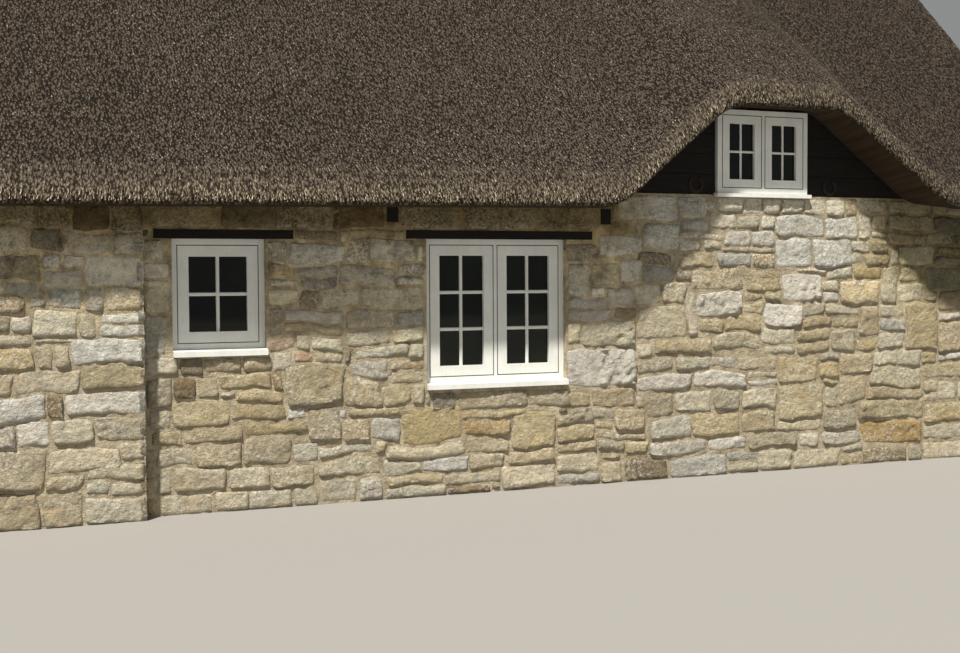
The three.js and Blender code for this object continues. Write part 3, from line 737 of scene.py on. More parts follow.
def reed_tree():
    """Scatters short reed ends that lie down the slope and lift at their cut ends."""
    tree = bpy.data.node_groups.new("reed_ends", "GeometryNodeTree")
    sockets = {}
    for name, kind in (
        ("Surface", "Geometry"), ("Spacing", "Float"), ("Length", "Float"), ("Width", "Float"),
        ("Lift", "Float"), ("Lean", "Float"), ("Ragged", "Float"), ("Seed", "Int"), ("Finish", "Material"),
        ("Reed", "Object"),
    ):
        made = tree.interface.new_socket(name=name, in_out="INPUT", socket_type=f"NodeSocket{kind}")
        sockets[name] = made.identifier
    tree.interface.new_socket(name="Reeds", in_out="OUTPUT", socket_type="NodeSocketGeometry")
    given = tree.nodes.new("NodeGroupInput").outputs
    result = tree.nodes.new("NodeGroupOutput")

    def vectors(operation, *values, **named):
        made = node(tree, "ShaderNodeVectorMath", {"operation": operation}, **named)
        for socket, value in zip(made.inputs, values):
            plug(tree, socket, value)
        return made.outputs["Value"] if operation == "DOT_PRODUCT" else made.outputs["Vector"]

    def chance(low, high, salt):
        made = tree.nodes.new("FunctionNodeRandomValue")
        plug(tree, made.inputs[2], low)
        plug(tree, made.inputs[3], high)
        plug(tree, made.inputs[8], salt)
        return made.outputs[1]

    scatter = node(
        tree, "GeometryNodeDistributePointsOnFaces", {"distribute_method": "POISSON"},
        Mesh=given["Surface"], Distance_Min=given["Spacing"], Density_Max=9000.0, Seed=given["Seed"],
    )
    normal = scatter.outputs["Normal"]
    down = (0.0, 0.0, -1.0)
    fall = vectors("DOT_PRODUCT", down, normal)
    along = vectors("NORMALIZE", vectors("SUBTRACT", down, vectors("SCALE", normal, Scale=fall)))
    across = vectors("CROSS_PRODUCT", normal, along)
    x = axes(tree, tree.nodes.new("GeometryNodeInputPosition").outputs[0])[0]
    lean = sums(tree, "MULTIPLY", between(tree, x, -4.0, 0.0, -1.0, 1.0), given["Lean"])
    lean = sums(tree, "ADD", lean, sums(tree, "MULTIPLY", given["Ragged"], chance(-1.0, 1.0, 3)))
    leaning = vectors("NORMALIZE", vectors("ADD", along, vectors("SCALE", across, Scale=lean)))
    lift = sums(tree, "MULTIPLY", given["Lift"], chance(0.3, 1.7, 4))
    lifted = vectors("ADD", leaning, vectors("SCALE", normal, Scale=lift))
    uphill = vectors("SCALE", lifted, Scale=-1.0)
    upright = node(tree, "FunctionNodeAlignRotationToVector", {"axis": "Z"}, Vector=uphill)
    flat = node(
        tree, "FunctionNodeAlignRotationToVector", {"axis": "X", "pivot_axis": "Z"},
        Rotation=upright.outputs[0], Vector=normal,
    )
    wide = sums(tree, "MULTIPLY", given["Width"], chance(0.6, 1.3, 5))
    size = node(
        tree, "ShaderNodeCombineXYZ", X=sums(tree, "MULTIPLY", given["Width"], chance(0.7, 1.4, 6)), Y=wide,
        Z=sums(tree, "MULTIPLY", given["Length"], chance(0.7, 1.35, 7)),
    )
    end = node(tree, "GeometryNodeObjectInfo", Object=given["Reed"])
    placed = node(
        tree, "GeometryNodeInstanceOnPoints", Points=scatter.outputs["Points"],
        Instance=end.outputs["Geometry"], Rotation=flat.outputs[0], Scale=size.outputs[0],
    )
    shaded = node(
        tree, "GeometryNodeStoreNamedAttribute", {"data_type": "FLOAT", "domain": "INSTANCE"},
        Geometry=placed.outputs[0], Name="shade", Value=chance(0.0, 1.0, 8),
    )
    upright_here = between(tree, axes(tree, normal)[2], 0.0, 0.5, 1.0, 0.0)
    marked = node(
        tree, "GeometryNodeStoreNamedAttribute", {"data_type": "FLOAT", "domain": "INSTANCE"},
        Geometry=shaded.outputs[0], Name="upright", Value=upright_here,
    )
    real = node(tree, "GeometryNodeRealizeInstances", Geometry=marked.outputs[0])
    finished = node(tree, "GeometryNodeSetMaterial", Geometry=real.outputs[0], Material=given["Finish"])
    tree.links.new(finished.outputs[0], result.inputs[0])
    return tree, sockets


REED_END = reed_end()
REED_TREE, REED_SOCKETS = reed_tree()
REED_SIZES = {
    "Spacing": 0.02, "Length": 0.034, "Width": 0.0072, "Lift": 0.16, "Lean": 0.45, "Ragged": 0.16, "Seed": 1,
}


def scatter_reeds(name, vertices, faces, finish, **sizes):
    """Reed ends over a helper surface, as one plain mesh."""
    helper = bpy.data.meshes.new(name + "_bed")
    helper.from_pydata(vertices, [], faces)
    bed = bpy.data.objects.new(name + "_bed", helper)
    bpy.context.scene.collection.objects.link(bed)
    growth = bed.modifiers.new("reeds", "NODES")
    growth.node_group = REED_TREE
    for key, value in {**REED_SIZES, **sizes, "Finish": finish, "Reed": REED_END}.items():
        growth[REED_SOCKETS[key]] = value
    bpy.context.view_layer.update()
    grown = bed.evaluated_get(bpy.context.evaluated_depsgraph_get())
    mesh = bpy.data.meshes.new_from_object(grown)
    bed.modifiers.clear()
    bpy.data.objects.remove(bed)
    mesh.name = name
    mesh.materials.clear()
    return dress(bpy.data.objects.new(name, mesh), "thatch", finish)


def bed_surface(start, end, to, turned, rows=slice(1, None)):
    """Some rows of the coat's outside as a helper surface, between two places along the front."""
    turn = -1 if turned else 1
    stations = coat_stations(start, end)
    vertices = []
    for x in stations:
        line = coat_outside(x, to)[rows]
        vertices.extend((turn * x, turn * y, z) for y, z in line)
    return vertices, joined(len(stations), len(line), closed=False)


def verge_surface(end, turned, to):
    """The upright end of the coat at one gable, as a helper surface."""
    turn = -1 if turned else 1
    inset = math.copysign(0.004, end)
    vertices = []
    rows = [0.06 + (to - 0.08) * k / 20 for k in range(21)]
    for inward in rows:
        low = soffit(end, inward) + 0.02
        if inward > EAVE_OUT:
            low = max(underside(inward), soffit(end, inward)) + 0.01
        for z in (low, thatch_top(end, inward) - 0.12):
            vertices.append((turn * (end - inset), turn * (inward - DRIP), z))
    faces = joined(len(rows), 2, closed=False)
    return vertices, faces if end > 0 else [face[::-1] for face in faces]


def reed_ends():
    """Reed ends on both slopes, their lips and the verges. Those of the back are longer and fewer.

    A slope's reeds are in several pieces, so that none of them has too many triangles.
    """
    beside = DRIP - CHIMNEY_SIDE
    low = DRIP - 0.42  # the ridge covers the coat from here up
    lip, slope = slice(3, 11), slice(10, None)
    lips = {"Lift": 0.13, "Ragged": 0.25}
    coarse = {"Spacing": 0.0252, "Width": 0.0125, "Length": 0.052}
    fine, sparse = {"Spacing": 0.0168}, {"Spacing": 0.0185}
    for name, start, end, to, turned, rows, sizes in (
        ("front_1", -PAST_CHIMNEY, -1.55, low, False, slope, {**fine, "Seed": 11}),
        ("front_2", -1.55, 2.0, low, False, slope, {**fine, "Seed": 12}),
        ("front_3", 2.0, HALF_THATCH, low, False, slope, {**fine, "Seed": 13}),
        ("front_left_end", -HALF_THATCH, -PAST_CHIMNEY, beside, False, slope, {**sparse, "Seed": 21}),
        ("front_lip", -HALF_THATCH, HALF_THATCH, low, False, lip, {**lips, "Spacing": 0.0135, "Seed": 25}),
        ("back_1", -HALF_THATCH, -0.4, low, True, slope, {**coarse, "Seed": 31}),
        ("back_2", -0.4, PAST_CHIMNEY, low, True, slope, {**coarse, "Seed": 32}),
        ("back_right_end", PAST_CHIMNEY, HALF_THATCH, beside, True, slope, {**coarse, "Seed": 34}),
        ("back_lip", -HALF_THATCH, HALF_THATCH, low, True, lip, {**coarse, **lips, "Seed": 35}),
    ):
        scatter_reeds(f"reeds_{name}", *bed_surface(start, end, to, turned, rows), REED, **sizes)
    for i, (end, turned) in enumerate([(1, False), (-1, False), (1, True), (-1, True)]):
        bed = verge_surface(end * HALF_THATCH, turned, beside if (end > 0) == turned else low)
        scatter_reeds(f"reeds_verge_{i + 1}", *bed, REED, Spacing=0.021, Length=0.05, Lift=0.06, Seed=41 + i)


# The ridge


RIDGE_DOWN = 0.45  # how far down each side it reaches
RIDGE_THICK = 0.11
RIDGE_SINK = 0.012  # the cap's own surface lies this deep under its sedge
RIDGE_FROM = CLEARANCE - PAST_CHIMNEY
RIDGE_LONG = HALF_THATCH - 0.001 - RIDGE_FROM
ROD_LINES = (0.17, 0.42)  # the long rods lie this far down each side
ROD_PITCH = 0.29


def along_ridge(parts, start=0.0, end=RIDGE_LONG):
    """Even places along the ridge, measured from the end beside the chimney."""
    return [RIDGE_FROM + start + (end - start) * k / parts for k in range(parts + 1)]


def ridge_outline():
    """Half of the cap's outside in (y, z), from its lower edge up to the crown."""
    seat = APEX - SLOPE * RIDGE_DOWN
    thick = RIDGE_THICK - RIDGE_SINK
    foot = (RIDGE_DOWN + thick * math.sin(PITCH), seat + thick * math.cos(PITCH))
    crown = APEX + thick / math.cos(PITCH)
    line = [(RIDGE_DOWN, seat), (foot[0] - 0.004, foot[1] - 0.012), foot]
    line += [(y, crown - y * SLOPE) for y in (0.4, 0.3, 0.2, 0.14, 0.1)]
    return line + [(0.06, crown - 0.078), (0.025, crown - 0.056), (0.0, crown - 0.052)]


def ridge_cap():
    """The cap wanders a little along its length and narrows at its open end."""
    half = ridge_outline()
    outline = [(-y, z) for y, z in half] + half[-2::-1] + [(0.0, APEX)]
    rings = []
    for x in along_ridge(88):
        to_end = RIDGE_FROM + RIDGE_LONG - x
        shrink = 1 - 0.35 * max(0.06 - to_end, 0)
        wobble = 0.006 * (noise.noise(Vector((x * 1.3, 0, 0))) - 1)
        rings.append([(x, y * shrink, z + wobble) for y, z in outline])
    shell = Shell()
    shell.add(*loft(rings))
    shell.piece("ridge_cap", "thatch", THATCH_CORE, replaces=["thatch_ridge"], smooth=45)


def ridge_sedge():
    line = ridge_outline()[1:]
    places = along_ridge(40)
    faces = joined(len(places), len(line), closed=False)
    for i, side in enumerate((-1, 1)):
        vertices = [(x, side * y, z) for x in places for y, z in line]
        scatter_reeds(
            f"ridge_sedge_{i + 1}", vertices, faces if side < 0 else flipped(faces), RIDGE_REED,
            Spacing=0.03, Length=0.09, Width=0.008, Lift=0.06, Lean=0.0, Seed=51 + i,
        )


def ridge_rods():
    """Hazel rods pinned along the ridge, with crossed rods between them."""
    shell = Shell()
    crown = APEX + RIDGE_THICK / math.cos(PITCH)

    def rod(places, radius, side):
        shell.add(*tube([(x, side * y, crown - y * SLOPE - 0.004) for x, y in places], radius))

    for side in (-1, 1):
        for y in ROD_LINES:
            places = along_ridge(34, 0.02, RIDGE_LONG - 0.03)
            rod([(x, y + 0.004 * noise.noise(Vector((x * 2, y, side)))) for x in places], 0.011, side)
        for k in range(int((RIDGE_LONG - 0.1) / ROD_PITCH)):
            x = RIDGE_FROM + 0.06 + k * ROD_PITCH
            for first, second in (ROD_LINES, ROD_LINES[::-1]):
                rod([(x, first), (x + ROD_PITCH, second)], 0.008, side)
    shell.piece("ridge_rods", "timber", HAZEL, smooth=50)


# Rubble. A stone is (left, right, bottom, top, tone) in centimetres on its wall.

# Each tone's colour, and how rough its stones are. An R after a tone doubles that.
TONES = {
    "w": (paint(212, 208, 196), 1.2),
    "g": (paint(184, 179, 166), 1.0),
    "b": (paint(184, 183, 176), 1.0),
    "c": (paint(200, 191, 164), 0.8),
    "p": (paint(202, 193, 169), 0.9),
    "t": (paint(186, 173, 145), 0.9),
    "h": (paint(188, 173, 137), 0.8),
    "o": (paint(178, 152, 106), 1.0),
    "d": (paint(142, 130, 108), 0.9),
    "r": (paint(190, 164, 136), 0.7),
}

PROUD_STONES = """
-270 -248 183 194 d|-246 -228 183 193 d|-226 -206 182 193 d|-204 -187 183 193 d|-270 -252 167 181 t
-250 -234 166 179 d|-229 -206 166 179 g|-203 -188 167 176 g|-270 -246 150 165 t|-243 -234 157 164 g
-232 -221 157 164 g|-219 -186 146 162 w|-244 -221 147 155 w|-262 -244 141 149 w|-241 -221 130 144 b
-270 -255 129 139 d|-253 -242 130 140 g|-219 -210 131 144 g|-208 -188 133 144 t|-270 -263 117 128 t
-262 -251 117 127 w|-250 -224 116 130 p|-223 -211 116 129 p|-210 -185 124 131 w|-211 -187 115 123 w
-270 -253 111 116 t|-244 -223 111 115 p|-270 -250 96 110 h|-249 -240 99 110 t|-239 -230 97 110 p
-229 -190 99 114 w|-270 -262 86 95 t|-261 -223 81 97 p|-221 -190 83 98 h|-270 -243 66 80 w
-241 -233 66 78 d|-231 -188 67 82 w|-270 -262 49 64 g|-261 -242 49 65 w|-240 -216 49 64 p
-214 -187 50 65 t|-270 -244 25 47 t|-242 -201 33 47 p|-199 -186 40 50 p|-222 -190 27 38 p
-241 -224 22 32 t|-221 -206 18 26 p|-204 -190 18 26 p|-270 -248 0 22 t|-246 -222 0 20 t|-220 -187 0 16 p
"""

MAIN_STONES = """
-181 -170 162 176 g|-181 -169 151 160 w|-182 -169 130 149 t|-183 -173 104 128 g|-179 -162 89 101 p
-178 -167 68 88 t|-165 -152 73 87 d|-150 -139 75 87 t|-138 -103 79 89 h|-168 -129 56 73 h
-137 -127 74 78 p|-127 -94 70 78 h|-127 -94 58 69 h|-177 -169 56 67 p|-175 -161 45 55 h|-158 -122 46 55 t
-119 -82 48 56 h|-172 -153 30 43 p|-150 -124 31 44 t|-121 -89 30 47 t|-88 -76 31 42 p|-172 -167 17 29 p
-166 -132 15 29 p|-131 -103 14 28 p|-102 -77 13 28 t|-170 -141 1 14 p|-139 -119 4 13 p|-117 -89 0 11 p
-87 -75 1 11 p|-161 -147 90 99 d|-145 -122 90 99 t|-120 -104 90 99 t|-104 -86 103 110 r|-100 -87 88 101 p
-101 -93 77 86 o|-92 -56 67 93 h|-93 -78 57 66 w|-77 -56 43 65 t|-85 -76 102 110 c|-75 -58 103 113 c
-84 -76 94 99 r|-73 -58 94 101 c|-104 -91 162 175 g|-89 -52 160 175 w|-50 -37 161 174 d|-33 -1 162 176 w
-104 -90 151 160 t|-87 -60 153 160 b|-104 -86 145 149 t|-84 -61 143 151 g|-57 -16 145 158 w
-103 -85 134 143 c|-80 -73 134 138 d|-67 -41 131 143 c|-39 -1 131 143 c|-92 -55 122 130 w
-103 -94 112 131 t|-50 -17 117 128 t|-11 3 119 127 b|-90 -55 113 121 t|-14 2 152 160 g|-13 3 144 151 g
-175 -136 184 195 t|-134 -98 184 195 t|-96 -62 184 195 d|-60 -23 183 195 d|-12 33 184 195 d
34 61 185 196 d|63 90 184 196 d|92 113 184 196 t|114 139 184 196 t|-86 -62 177 182 t|-46 -38 180 183 p
-50 -22 107 116 c|-20 3 107 118 c|-40 -8 97 106 c|-6 3 96 105 c|-42 -21 84 95 g|-17 0 88 94 t|-16 1 79 87 t
-47 -27 66 80 t|-25 -6 65 78 h|-4 5 64 75 p|-43 -13 58 64 h|-13 33 38 63 h|-33 -16 44 57 g|-53 -35 44 57 t
34 69 40 50 o|30 81 51 57 h|10 28 58 69 d|29 81 58 70 t|83 115 58 70 t|70 103 30 54 h|105 134 45 53 t
106 133 33 43 h|-18 31 28 37 p|36 68 28 38 t|-20 1 17 27 p|4 36 18 26 w|38 66 15 25 t|69 104 19 29 t
106 135 24 32 t|106 135 14 22 p|-19 17 9 16 t|19 60 6 14 p|-20 20 0 8 p|62 104 6 17 p
113 138 160 174 t|140 176 164 181 g|114 131 140 157 g|133 157 145 156 c|132 145 137 143 w
147 166 130 142 g|116 142 129 135 b|114 151 119 128 w|153 171 121 129 h|113 124 102 118 c
126 168 101 118 cR|113 166 71 99 wR|113 130 57 69 t|131 165 56 69 t|112 129 46 55 t|131 150 46 55 t
151 173 40 50 t|136 173 33 39 t|136 160 25 32 t|162 176 25 32 h|171 190 130 145 c|192 213 129 144 h
172 211 104 127 c|213 223 108 137 p|191 235 96 103 h|158 176 150 161 g|171 194 158 168 d|180 200 147 157 g
201 215 146 151 d|210 234 157 167 h|208 221 168 176 c|210 246 178 182 t|206 232 184 191 g
234 257 189 198 p|247 270 174 186 wR|235 245 172 177 c|247 292 169 172 t|246 271 158 167 gR
273 292 158 168 o|218 261 139 156 hR|225 260 119 137 wR|262 278 131 137 h|280 297 131 137 h
262 297 139 154 hR|261 280 119 129 h|223 244 107 117 h|246 276 107 117 h|237 276 99 106 c
175 206 170 188 g|160 203 190 206 g|205 231 193 207 g|258 278 187 196 c|279 292 187 196 c
272 292 174 186 w|293 337 180 196 g|338 368 179 196 g|370 381 181 195 g|294 325 158 179 w
327 364 158 178 b|366 382 168 177 t|383 395 168 177 h|361 374 159 167 c|376 395 158 166 h
365 393 148 156 h|340 364 149 157 c|318 339 154 157 h|298 334 130 153 wR|336 349 138 148 t
336 349 129 137 w|350 391 129 147 h|393 410 131 156 c|411 432 130 139 c|393 415 119 129 cR
394 414 109 118 g|416 451 92 129 h|453 476 91 107 t|281 315 112 128 w|318 337 119 128 t|339 369 119 127 t
322 343 110 117 t|345 368 110 117 h|281 311 99 110 c|313 342 101 108 h|344 368 91 106 t|311 342 91 99 t
370 391 103 127 t|389 414 93 107 p|300 331 72 89 h|333 351 84 90 g|333 351 72 82 h|353 384 72 92 t
387 410 79 91 c|411 430 79 90 c|381 431 61 77 c|381 432 51 60 t|354 379 52 70 t|300 332 44 61 h
378 432 36 49 hR|380 432 20 34 o|209 238 199 207 g|240 262 199 206 p|264 279 198 205 c|281 296 197 204 c
298 318 198 205 c|320 338 198 205 c|340 356 198 204 c|357 368 199 207 h
"""


def read_stones(text):
    stones = []
    for entry in text.replace("\n", "|").split("|"):
        words = entry.split()
        if words:
            stones.append((*map(float, words[:4]), words[4]))
    return stones


class Wall:
    """A wall face: where it starts, which way it runs, which way it faces, and what is free of openings."""

    def __init__(self, origin, along, outward, left, right, height, free=None):
        self.origin = Vector(origin)
        self.along = Vector(along)
        self.outward = Vector(outward)
        self.left = left
        self.width = right - left
        self.height = height
        self.taken = np.zeros((height, right - left), bool)
        if free:
            for v in range(height):
                for u in range(self.width):
                    self.taken[v, u] = not free(left + u + 0.5, v + 0.5)
        self.room = self.room_round()

    def room_round(self, most=18):
        """How far each spot is from an opening or the wall's rim, from 0 up to 1."""
        near = np.pad(self.taken, 1, constant_values=True)
        room = np.zeros(near.shape)
        for _ in range(most):
            room += ~near
            near[1:-1, 1:-1] |= near[:-2, 1:-1] | near[2:, 1:-1] | near[1:-1, :-2] | near[1:-1, 2:]
        return room[1:-1, 1:-1] / most

    def place(self, u, v, out):
        """A point given in centimetres along and up the wall and metres out from it.

        Away from openings and rims the whole pattern of joints wanders by a few centimetres.
        """
        i = min(max(int(v), 0), self.height - 1)
        j = min(max(int(u - self.left), 0), self.width - 1)
        spot = Vector((u / 34, v / 26, self.origin.x + 2 * self.origin.y))
        sideways = 3.4 * noise.noise(spot) + 1.5 * noise.noise(spot * 3.1)
        upward = 3.4 * noise.noise(spot + Vector((7, 3, 5)))
        upward += 1.3 * noise.noise(spot * 2.7 + Vector((1, 9, 2)))
        u += self.room[i, j] * sideways
        v += self.room[i, j] * upward
        return self.origin + self.along * (u / 100) + self.outward * out + Vector((0, 0, v / 100))

    def claim(self, left, right, bottom, top):
        a, b = max(int(left - self.left), 0), int(math.ceil(right - self.left))
        self.taken[max(int(bottom), 0) : int(math.ceil(top)), a:b] = True

    def grow(self, stones, most=5):
        """Widens stones, a centimetre a side at a time, until only narrow joints are left between them."""
        grown = [[round(a), round(b), round(c), round(d)] for a, b, c, d, _ in stones]
        for edges in grown:
            self.claim(*edges)
        for _ in range(most):
            for edges in grown:
                left, right, bottom, top = edges
                for side, strip in enumerate((
                    (left - 1, left, bottom, top), (right, right + 1, bottom, top),
                    (left, right, bottom - 1, bottom), (left, right, top, top + 1),
                )):
                    if self.is_free(*strip):
                        self.claim(*strip)
                        edges[side] += -1 if side in (0, 2) else 1
        return [(a + 0.1, b - 0.4, c + 0.1, d - 0.4, stone[4]) for (a, b, c, d), stone in zip(grown, stones)]

    def is_free(self, left, right, bottom, top):
        a, b = left - self.left, right - self.left
        if a < 0 or b > self.width or bottom < 0 or top > self.height:
            return False
        return not self.taken[bottom:top, a:b].any()

    def fill(self, draw, tones, courses, lengths):
        """Lays rough courses of stones in what is free, then fits stones of odd sizes in what is left."""
        laid = []
        v = 0
        while v + courses[0] <= self.height:
            rise = min(round(draw.uniform(*courses)), self.height - v)
            laid += self.course(v, rise, 12, lengths, draw, tones)
            v += rise
        return laid + self.fit(draw, tones, lengths)

    def fit(self, draw, tones, lengths):
        laid = []
        for v in range(self.height - 3):
            u = 0
            while u < self.width - 3:
                if self.taken[v, u]:
                    u += 1
                    continue
                end = u
                longest = draw.uniform(*lengths)
                while end < self.width and not self.taken[v, end] and end - u < longest:
                    end += 1
                top = v
                highest = draw.uniform(9, 18)
                while top < self.height and top - v < highest and not self.taken[top, u:end].any():
                    top += 1
                if end - u >= 5 and top - v >= 5:
                    left, right = self.left + u, self.left + end
                    laid.append((left + 0.3, right - 0.9, v + 0.3, top - 0.8, draw.choice(tones)))
                    self.claim(left, right, v, top)
                u = max(end, u + 1)
        return laid

    def course(self, v, rise, least, lengths, draw, tones):
        laid = []
        band = ~self.taken[v : v + rise].any(axis=0)
        u = 0
        while u < self.width:
            if not band[u]:
                u += 1
                continue
            end = u
            longest = min(draw.uniform(*lengths), 4.2 * rise)
            while end < self.width and band[end] and end - u < longest:
                end += 1
            rest = end
            while rest < self.width and band[rest]:
                rest += 1
            if rest - end < least:
                end = rest
            if end - u >= least:
                left, right = self.left + u, self.left + end
                tone = draw.choice(tones)
                if rise > 13 and draw.random() < 0.3:
                    middle = v + rise * draw.uniform(0.4, 0.6)
                    laid.append((left, right, v + 0.3, middle - 0.7, tone))
                    laid.append((left, right, middle + 0.5, v + rise - 0.8, draw.choice(tones)))
                else:
                    laid.append((left + 0.2, right - 1.2, v + 0.3, v + rise - 0.8, tone))
                self.claim(left, right, v, v + rise)
            u = max(end, u + 1)
        return laid


FINE_STEP = 0.025  # a stone with a finer mesh than this has a rounder rim too
STONE_SUNK = 0.014  # how deep a stone's rim lies in the mortar


def spaced(length, step, rim):
    """Places across a stone: close at its rims, then even."""
    inner = length - 2 * rim[-1]
    count = max(int(round(inner / step)), 1)
    middle = [rim[-1] + inner * k / count for k in range(1, count)]
    return np.array([*rim, *middle, *[length - r for r in reversed(rim)]])


def stone_spots(width, height, step):
    """A grid over a stone's face, and how far each spot is from the nearest rim."""
    rim = (0.0, 0.004, 0.012) if step < FINE_STEP else (0.0, 0.008)
    grid_u, grid_v = np.meshgrid(spaced(width, step, rim), spaced(height, step, rim))
    away = np.minimum(np.minimum(grid_u, width - grid_u), np.minimum(grid_v, height - grid_v))
    return grid_u, grid_v, away


def skewed(share_u, share_v, moves, signs):
    """How far each spot moves as the stone's four corners do."""
    low, high = 1 - share_v, share_v
    weights = ((1 - share_u) * low, share_u * low, share_u * high, (1 - share_u) * high)
    return sum(weight * move * sign for weight, move, sign in zip(weights, moves, signs))


def stone_face(wall, stone, spots, rough, draw, rise, square):
    """The points of a stone's face, hewn and pitted inside an uneven four-sided outline, and its seed."""
    left, right, bottom, top, _ = stone
    width, height = (right - left) / 100, (top - bottom) / 100
    grid_u, grid_v, away = spots
    share_u, share_v = grid_u / width, grid_v / height
    slack = 0.003 if square else min(0.012, 0.1 * min(width, height))
    skew = [draw.uniform(-0.5, 0.8) * slack for _ in range(8)]
    move_u = skewed(share_u, share_v, skew[:4], (1, -1, -1, 1))
    move_v = skewed(share_u, share_v, skew[4:], (1, 1, -1, -1))
    s, t = share_u * 2 - 1, share_v * 2 - 1
    corner = min(0.02, 0.2 * min(width, height)) * draw.uniform(0.3, 1.0)
    pull = np.abs(s) ** 8 * np.abs(t) ** 8 * corner
    seed = draw.uniform(0, 500)
    proud = rise * (0.9 if square else draw.uniform(0.45, 1.35))
    crown = -STONE_SUNK + (proud + STONE_SUNK) * (1 - np.exp(-away / 0.005))
    lean = (0, 0) if square else (draw.uniform(-0.05, 0.05), draw.uniform(-0.1, 0.05))
    tilt = lean[0] * (grid_u - width / 2) + lean[1] * (grid_v - height / 2)
    edge = np.clip(1 - away / 0.03, 0, 1)
    points = []
    for spot in np.ndindex(grid_u.shape):
        u, v = grid_u[spot], grid_v[spot]
        place = Vector((u * 9 + seed, v * 15, seed * 0.37))
        hewn = abs(noise.noise(place)) + 0.6 * abs(noise.noise(place * 2.3))
        waves = 0.8 * noise.noise(place * 0.6) + noise.noise(place * 2.6) - hewn
        least = crown[spot] * (0.3 if crown[spot] > 0 else 1)
        out = max(crown[spot] + tilt[spot] + rough * 0.011 * waves * (1 - 0.5 * edge[spot]), least)
        bite = 0.009 * noise.noise(Vector((u * 17, v * 21, seed)))
        u += move_u[spot] - s[spot] * edge[spot] * (0.001 + bite) - np.sign(s[spot]) * pull[spot]
        v += move_v[spot] - t[spot] * edge[spot] * (0.001 - bite) - np.sign(t[spot]) * pull[spot]
        points.append(wall.place(left + u * 100, max(bottom + v * 100, 0.2), out))
    return points, seed


def add_stone(shell, wall, stone, draw, step, rise=0.014, square=False):
    """One worn stone, with its back sunk in the mortar and its rim darkened, partly by dirt and partly as
    painted shade in the joint.
    """
    left, right, bottom, top, kind = stone
    colour_of, rough = TONES[kind[0]]
    rough *= 2.0 if kind.endswith("R") else 1.0
    spots = stone_spots((right - left) / 100, (top - bottom) / 100, step)
    vertices, seed = stone_face(wall, stone, spots, rough, draw, rise, square)
    rows, columns = spots[0].shape
    border = list(range(columns))
    border += [j * columns + columns - 1 for j in range(1, rows)]
    border += [(rows - 1) * columns + i for i in range(columns - 2, -1, -1)]
    border += [j * columns for j in range(rows - 2, 0, -1)]
    back, count = len(vertices), len(border)
    vertices += [vertices[i] - wall.outward * 0.02 for i in border]
    faces = flipped(joined(rows, columns, closed=False))
    for k in range(count):
        n = (k + 1) % count
        faces.append((border[k], back + k, back + n, border[n]))
    faces.append(tuple(range(back, back + count))[::-1])
    if wall.along.cross(Vector((0, 0, 1))).dot(wall.outward) < 0:
        faces = [face[::-1] for face in faces]
    lighter = draw.uniform(0.84, 1.08)
    warm = draw.uniform(-0.02, 0.02)
    red, green, blue = (share * lighter for share in colour_of[:3])
    crusted = seed % 1
    tone = np.array((red + warm, green, blue - warm, crusted))
    # Darker toward the rim, and half as dark on the sides down in the mortar: dirt, and painted shade in the
    # joints
    dirt_and_shade = (1 - 0.5 * np.exp(-spots[2].ravel() / 0.006))[:, None]
    dirt_and_shade = dirt_and_shade * np.array((1, 1, 1, 0)) + np.array((0, 0, 0, 1))
    shell.add(vertices, faces, tones=[*(tone * dirt_and_shade), *[tone * 0.5] * count])


# What the stones leave free, in centimetres. A window is (middle, bottom, width, height, lintel's ends).
SMALL = (-135.0, 104.6, 60.6, 71.0, (-176.6, -86.6))
WIDE = (59.7, 77.4, 106.6, 99.0, (-8.2, 133.7))
SILL_HIGH, LINTEL_HIGH = 4.1, 5.8
BEAMS = (-17.8, 144.8)
BEAM_LOW, BEAM_HIGH = 186, 200
DOORWAY = (-452, -348, 182)
DOOR_LINTEL = (-462, -338, 179, 187)
STACK_FROM = 448
WALL_TOP = WALL_HEAD * 100 - 1


def near_window(u, v, centre, bottom, width, height, lintel, past=1.0):
    """Whether a point is in a window's opening, sill or lintel."""
    top = bottom + height
    if abs(u - centre) < width / 2 + past and bottom - SILL_HIGH - past < v < top + past:
        return True
    return lintel[0] - past < u < lintel[1] + past and top - past < v < top + LINTEL_HIGH + past


def near_beam(u, v):
    return any(abs(u - x) < 5 and BEAM_LOW < v < BEAM_HIGH for x in BEAMS)


def front_faces():
    """The main face and the thicker stretch."""
    edge, half = PROUD_EDGE * 100, HALF_LENGTH * 100

    def free_main(u, v):
        if u < edge + 1 or near_window(u, v, *SMALL) or near_window(u, v, *WIDE):
            return False
        return not near_beam(u, v) and v < WALL_TOP

    def free_proud(u, v):
        left, right, bottom, top = DOOR_LINTEL
        if DOORWAY[0] < u < DOORWAY[1] and v < DOORWAY[2]:
            return False
        return not (left < u < right and bottom < v < top)

    main = Wall((0, -FACE, 0), (1, 0, 0), (0, -1, 0), int(edge), int(half), 210, free_main)
    proud = Wall((0, -PROUD_FACE, 0), (1, 0, 0), (0, -1, 0), -int(half), int(edge), 197, free_proud)
    return main, proud


def other_faces():
    half, face = HALF_LENGTH * 100, FACE * 100
    peak = (APEX - THATCH_UPRIGHT) * 100

    def free_back(u, v):
        return not near_window(u, v, *SMALL) and not near_beam(-u, v) and v <= WALL_TOP

    def free_gable(u, v):
        return v < peak - SLOPE * abs(u) - 1

    def free_stacked(u, v):
        return free_gable(u, v) and v < STACK_FROM

    size = (-int(face), int(face), 500)
    back = Wall((0, FACE, 0), (-1, 0, 0), (0, 1, 0), -int(half), int(half), 210, free_back)
    right = Wall((HALF_LENGTH, 0, 0), (0, 1, 0), (1, 0, 0), *size, free_gable)
    left = Wall((-HALF_LENGTH, 0, 0), (0, -1, 0), (-1, 0, 0), *size, free_stacked)
    return back, right, left


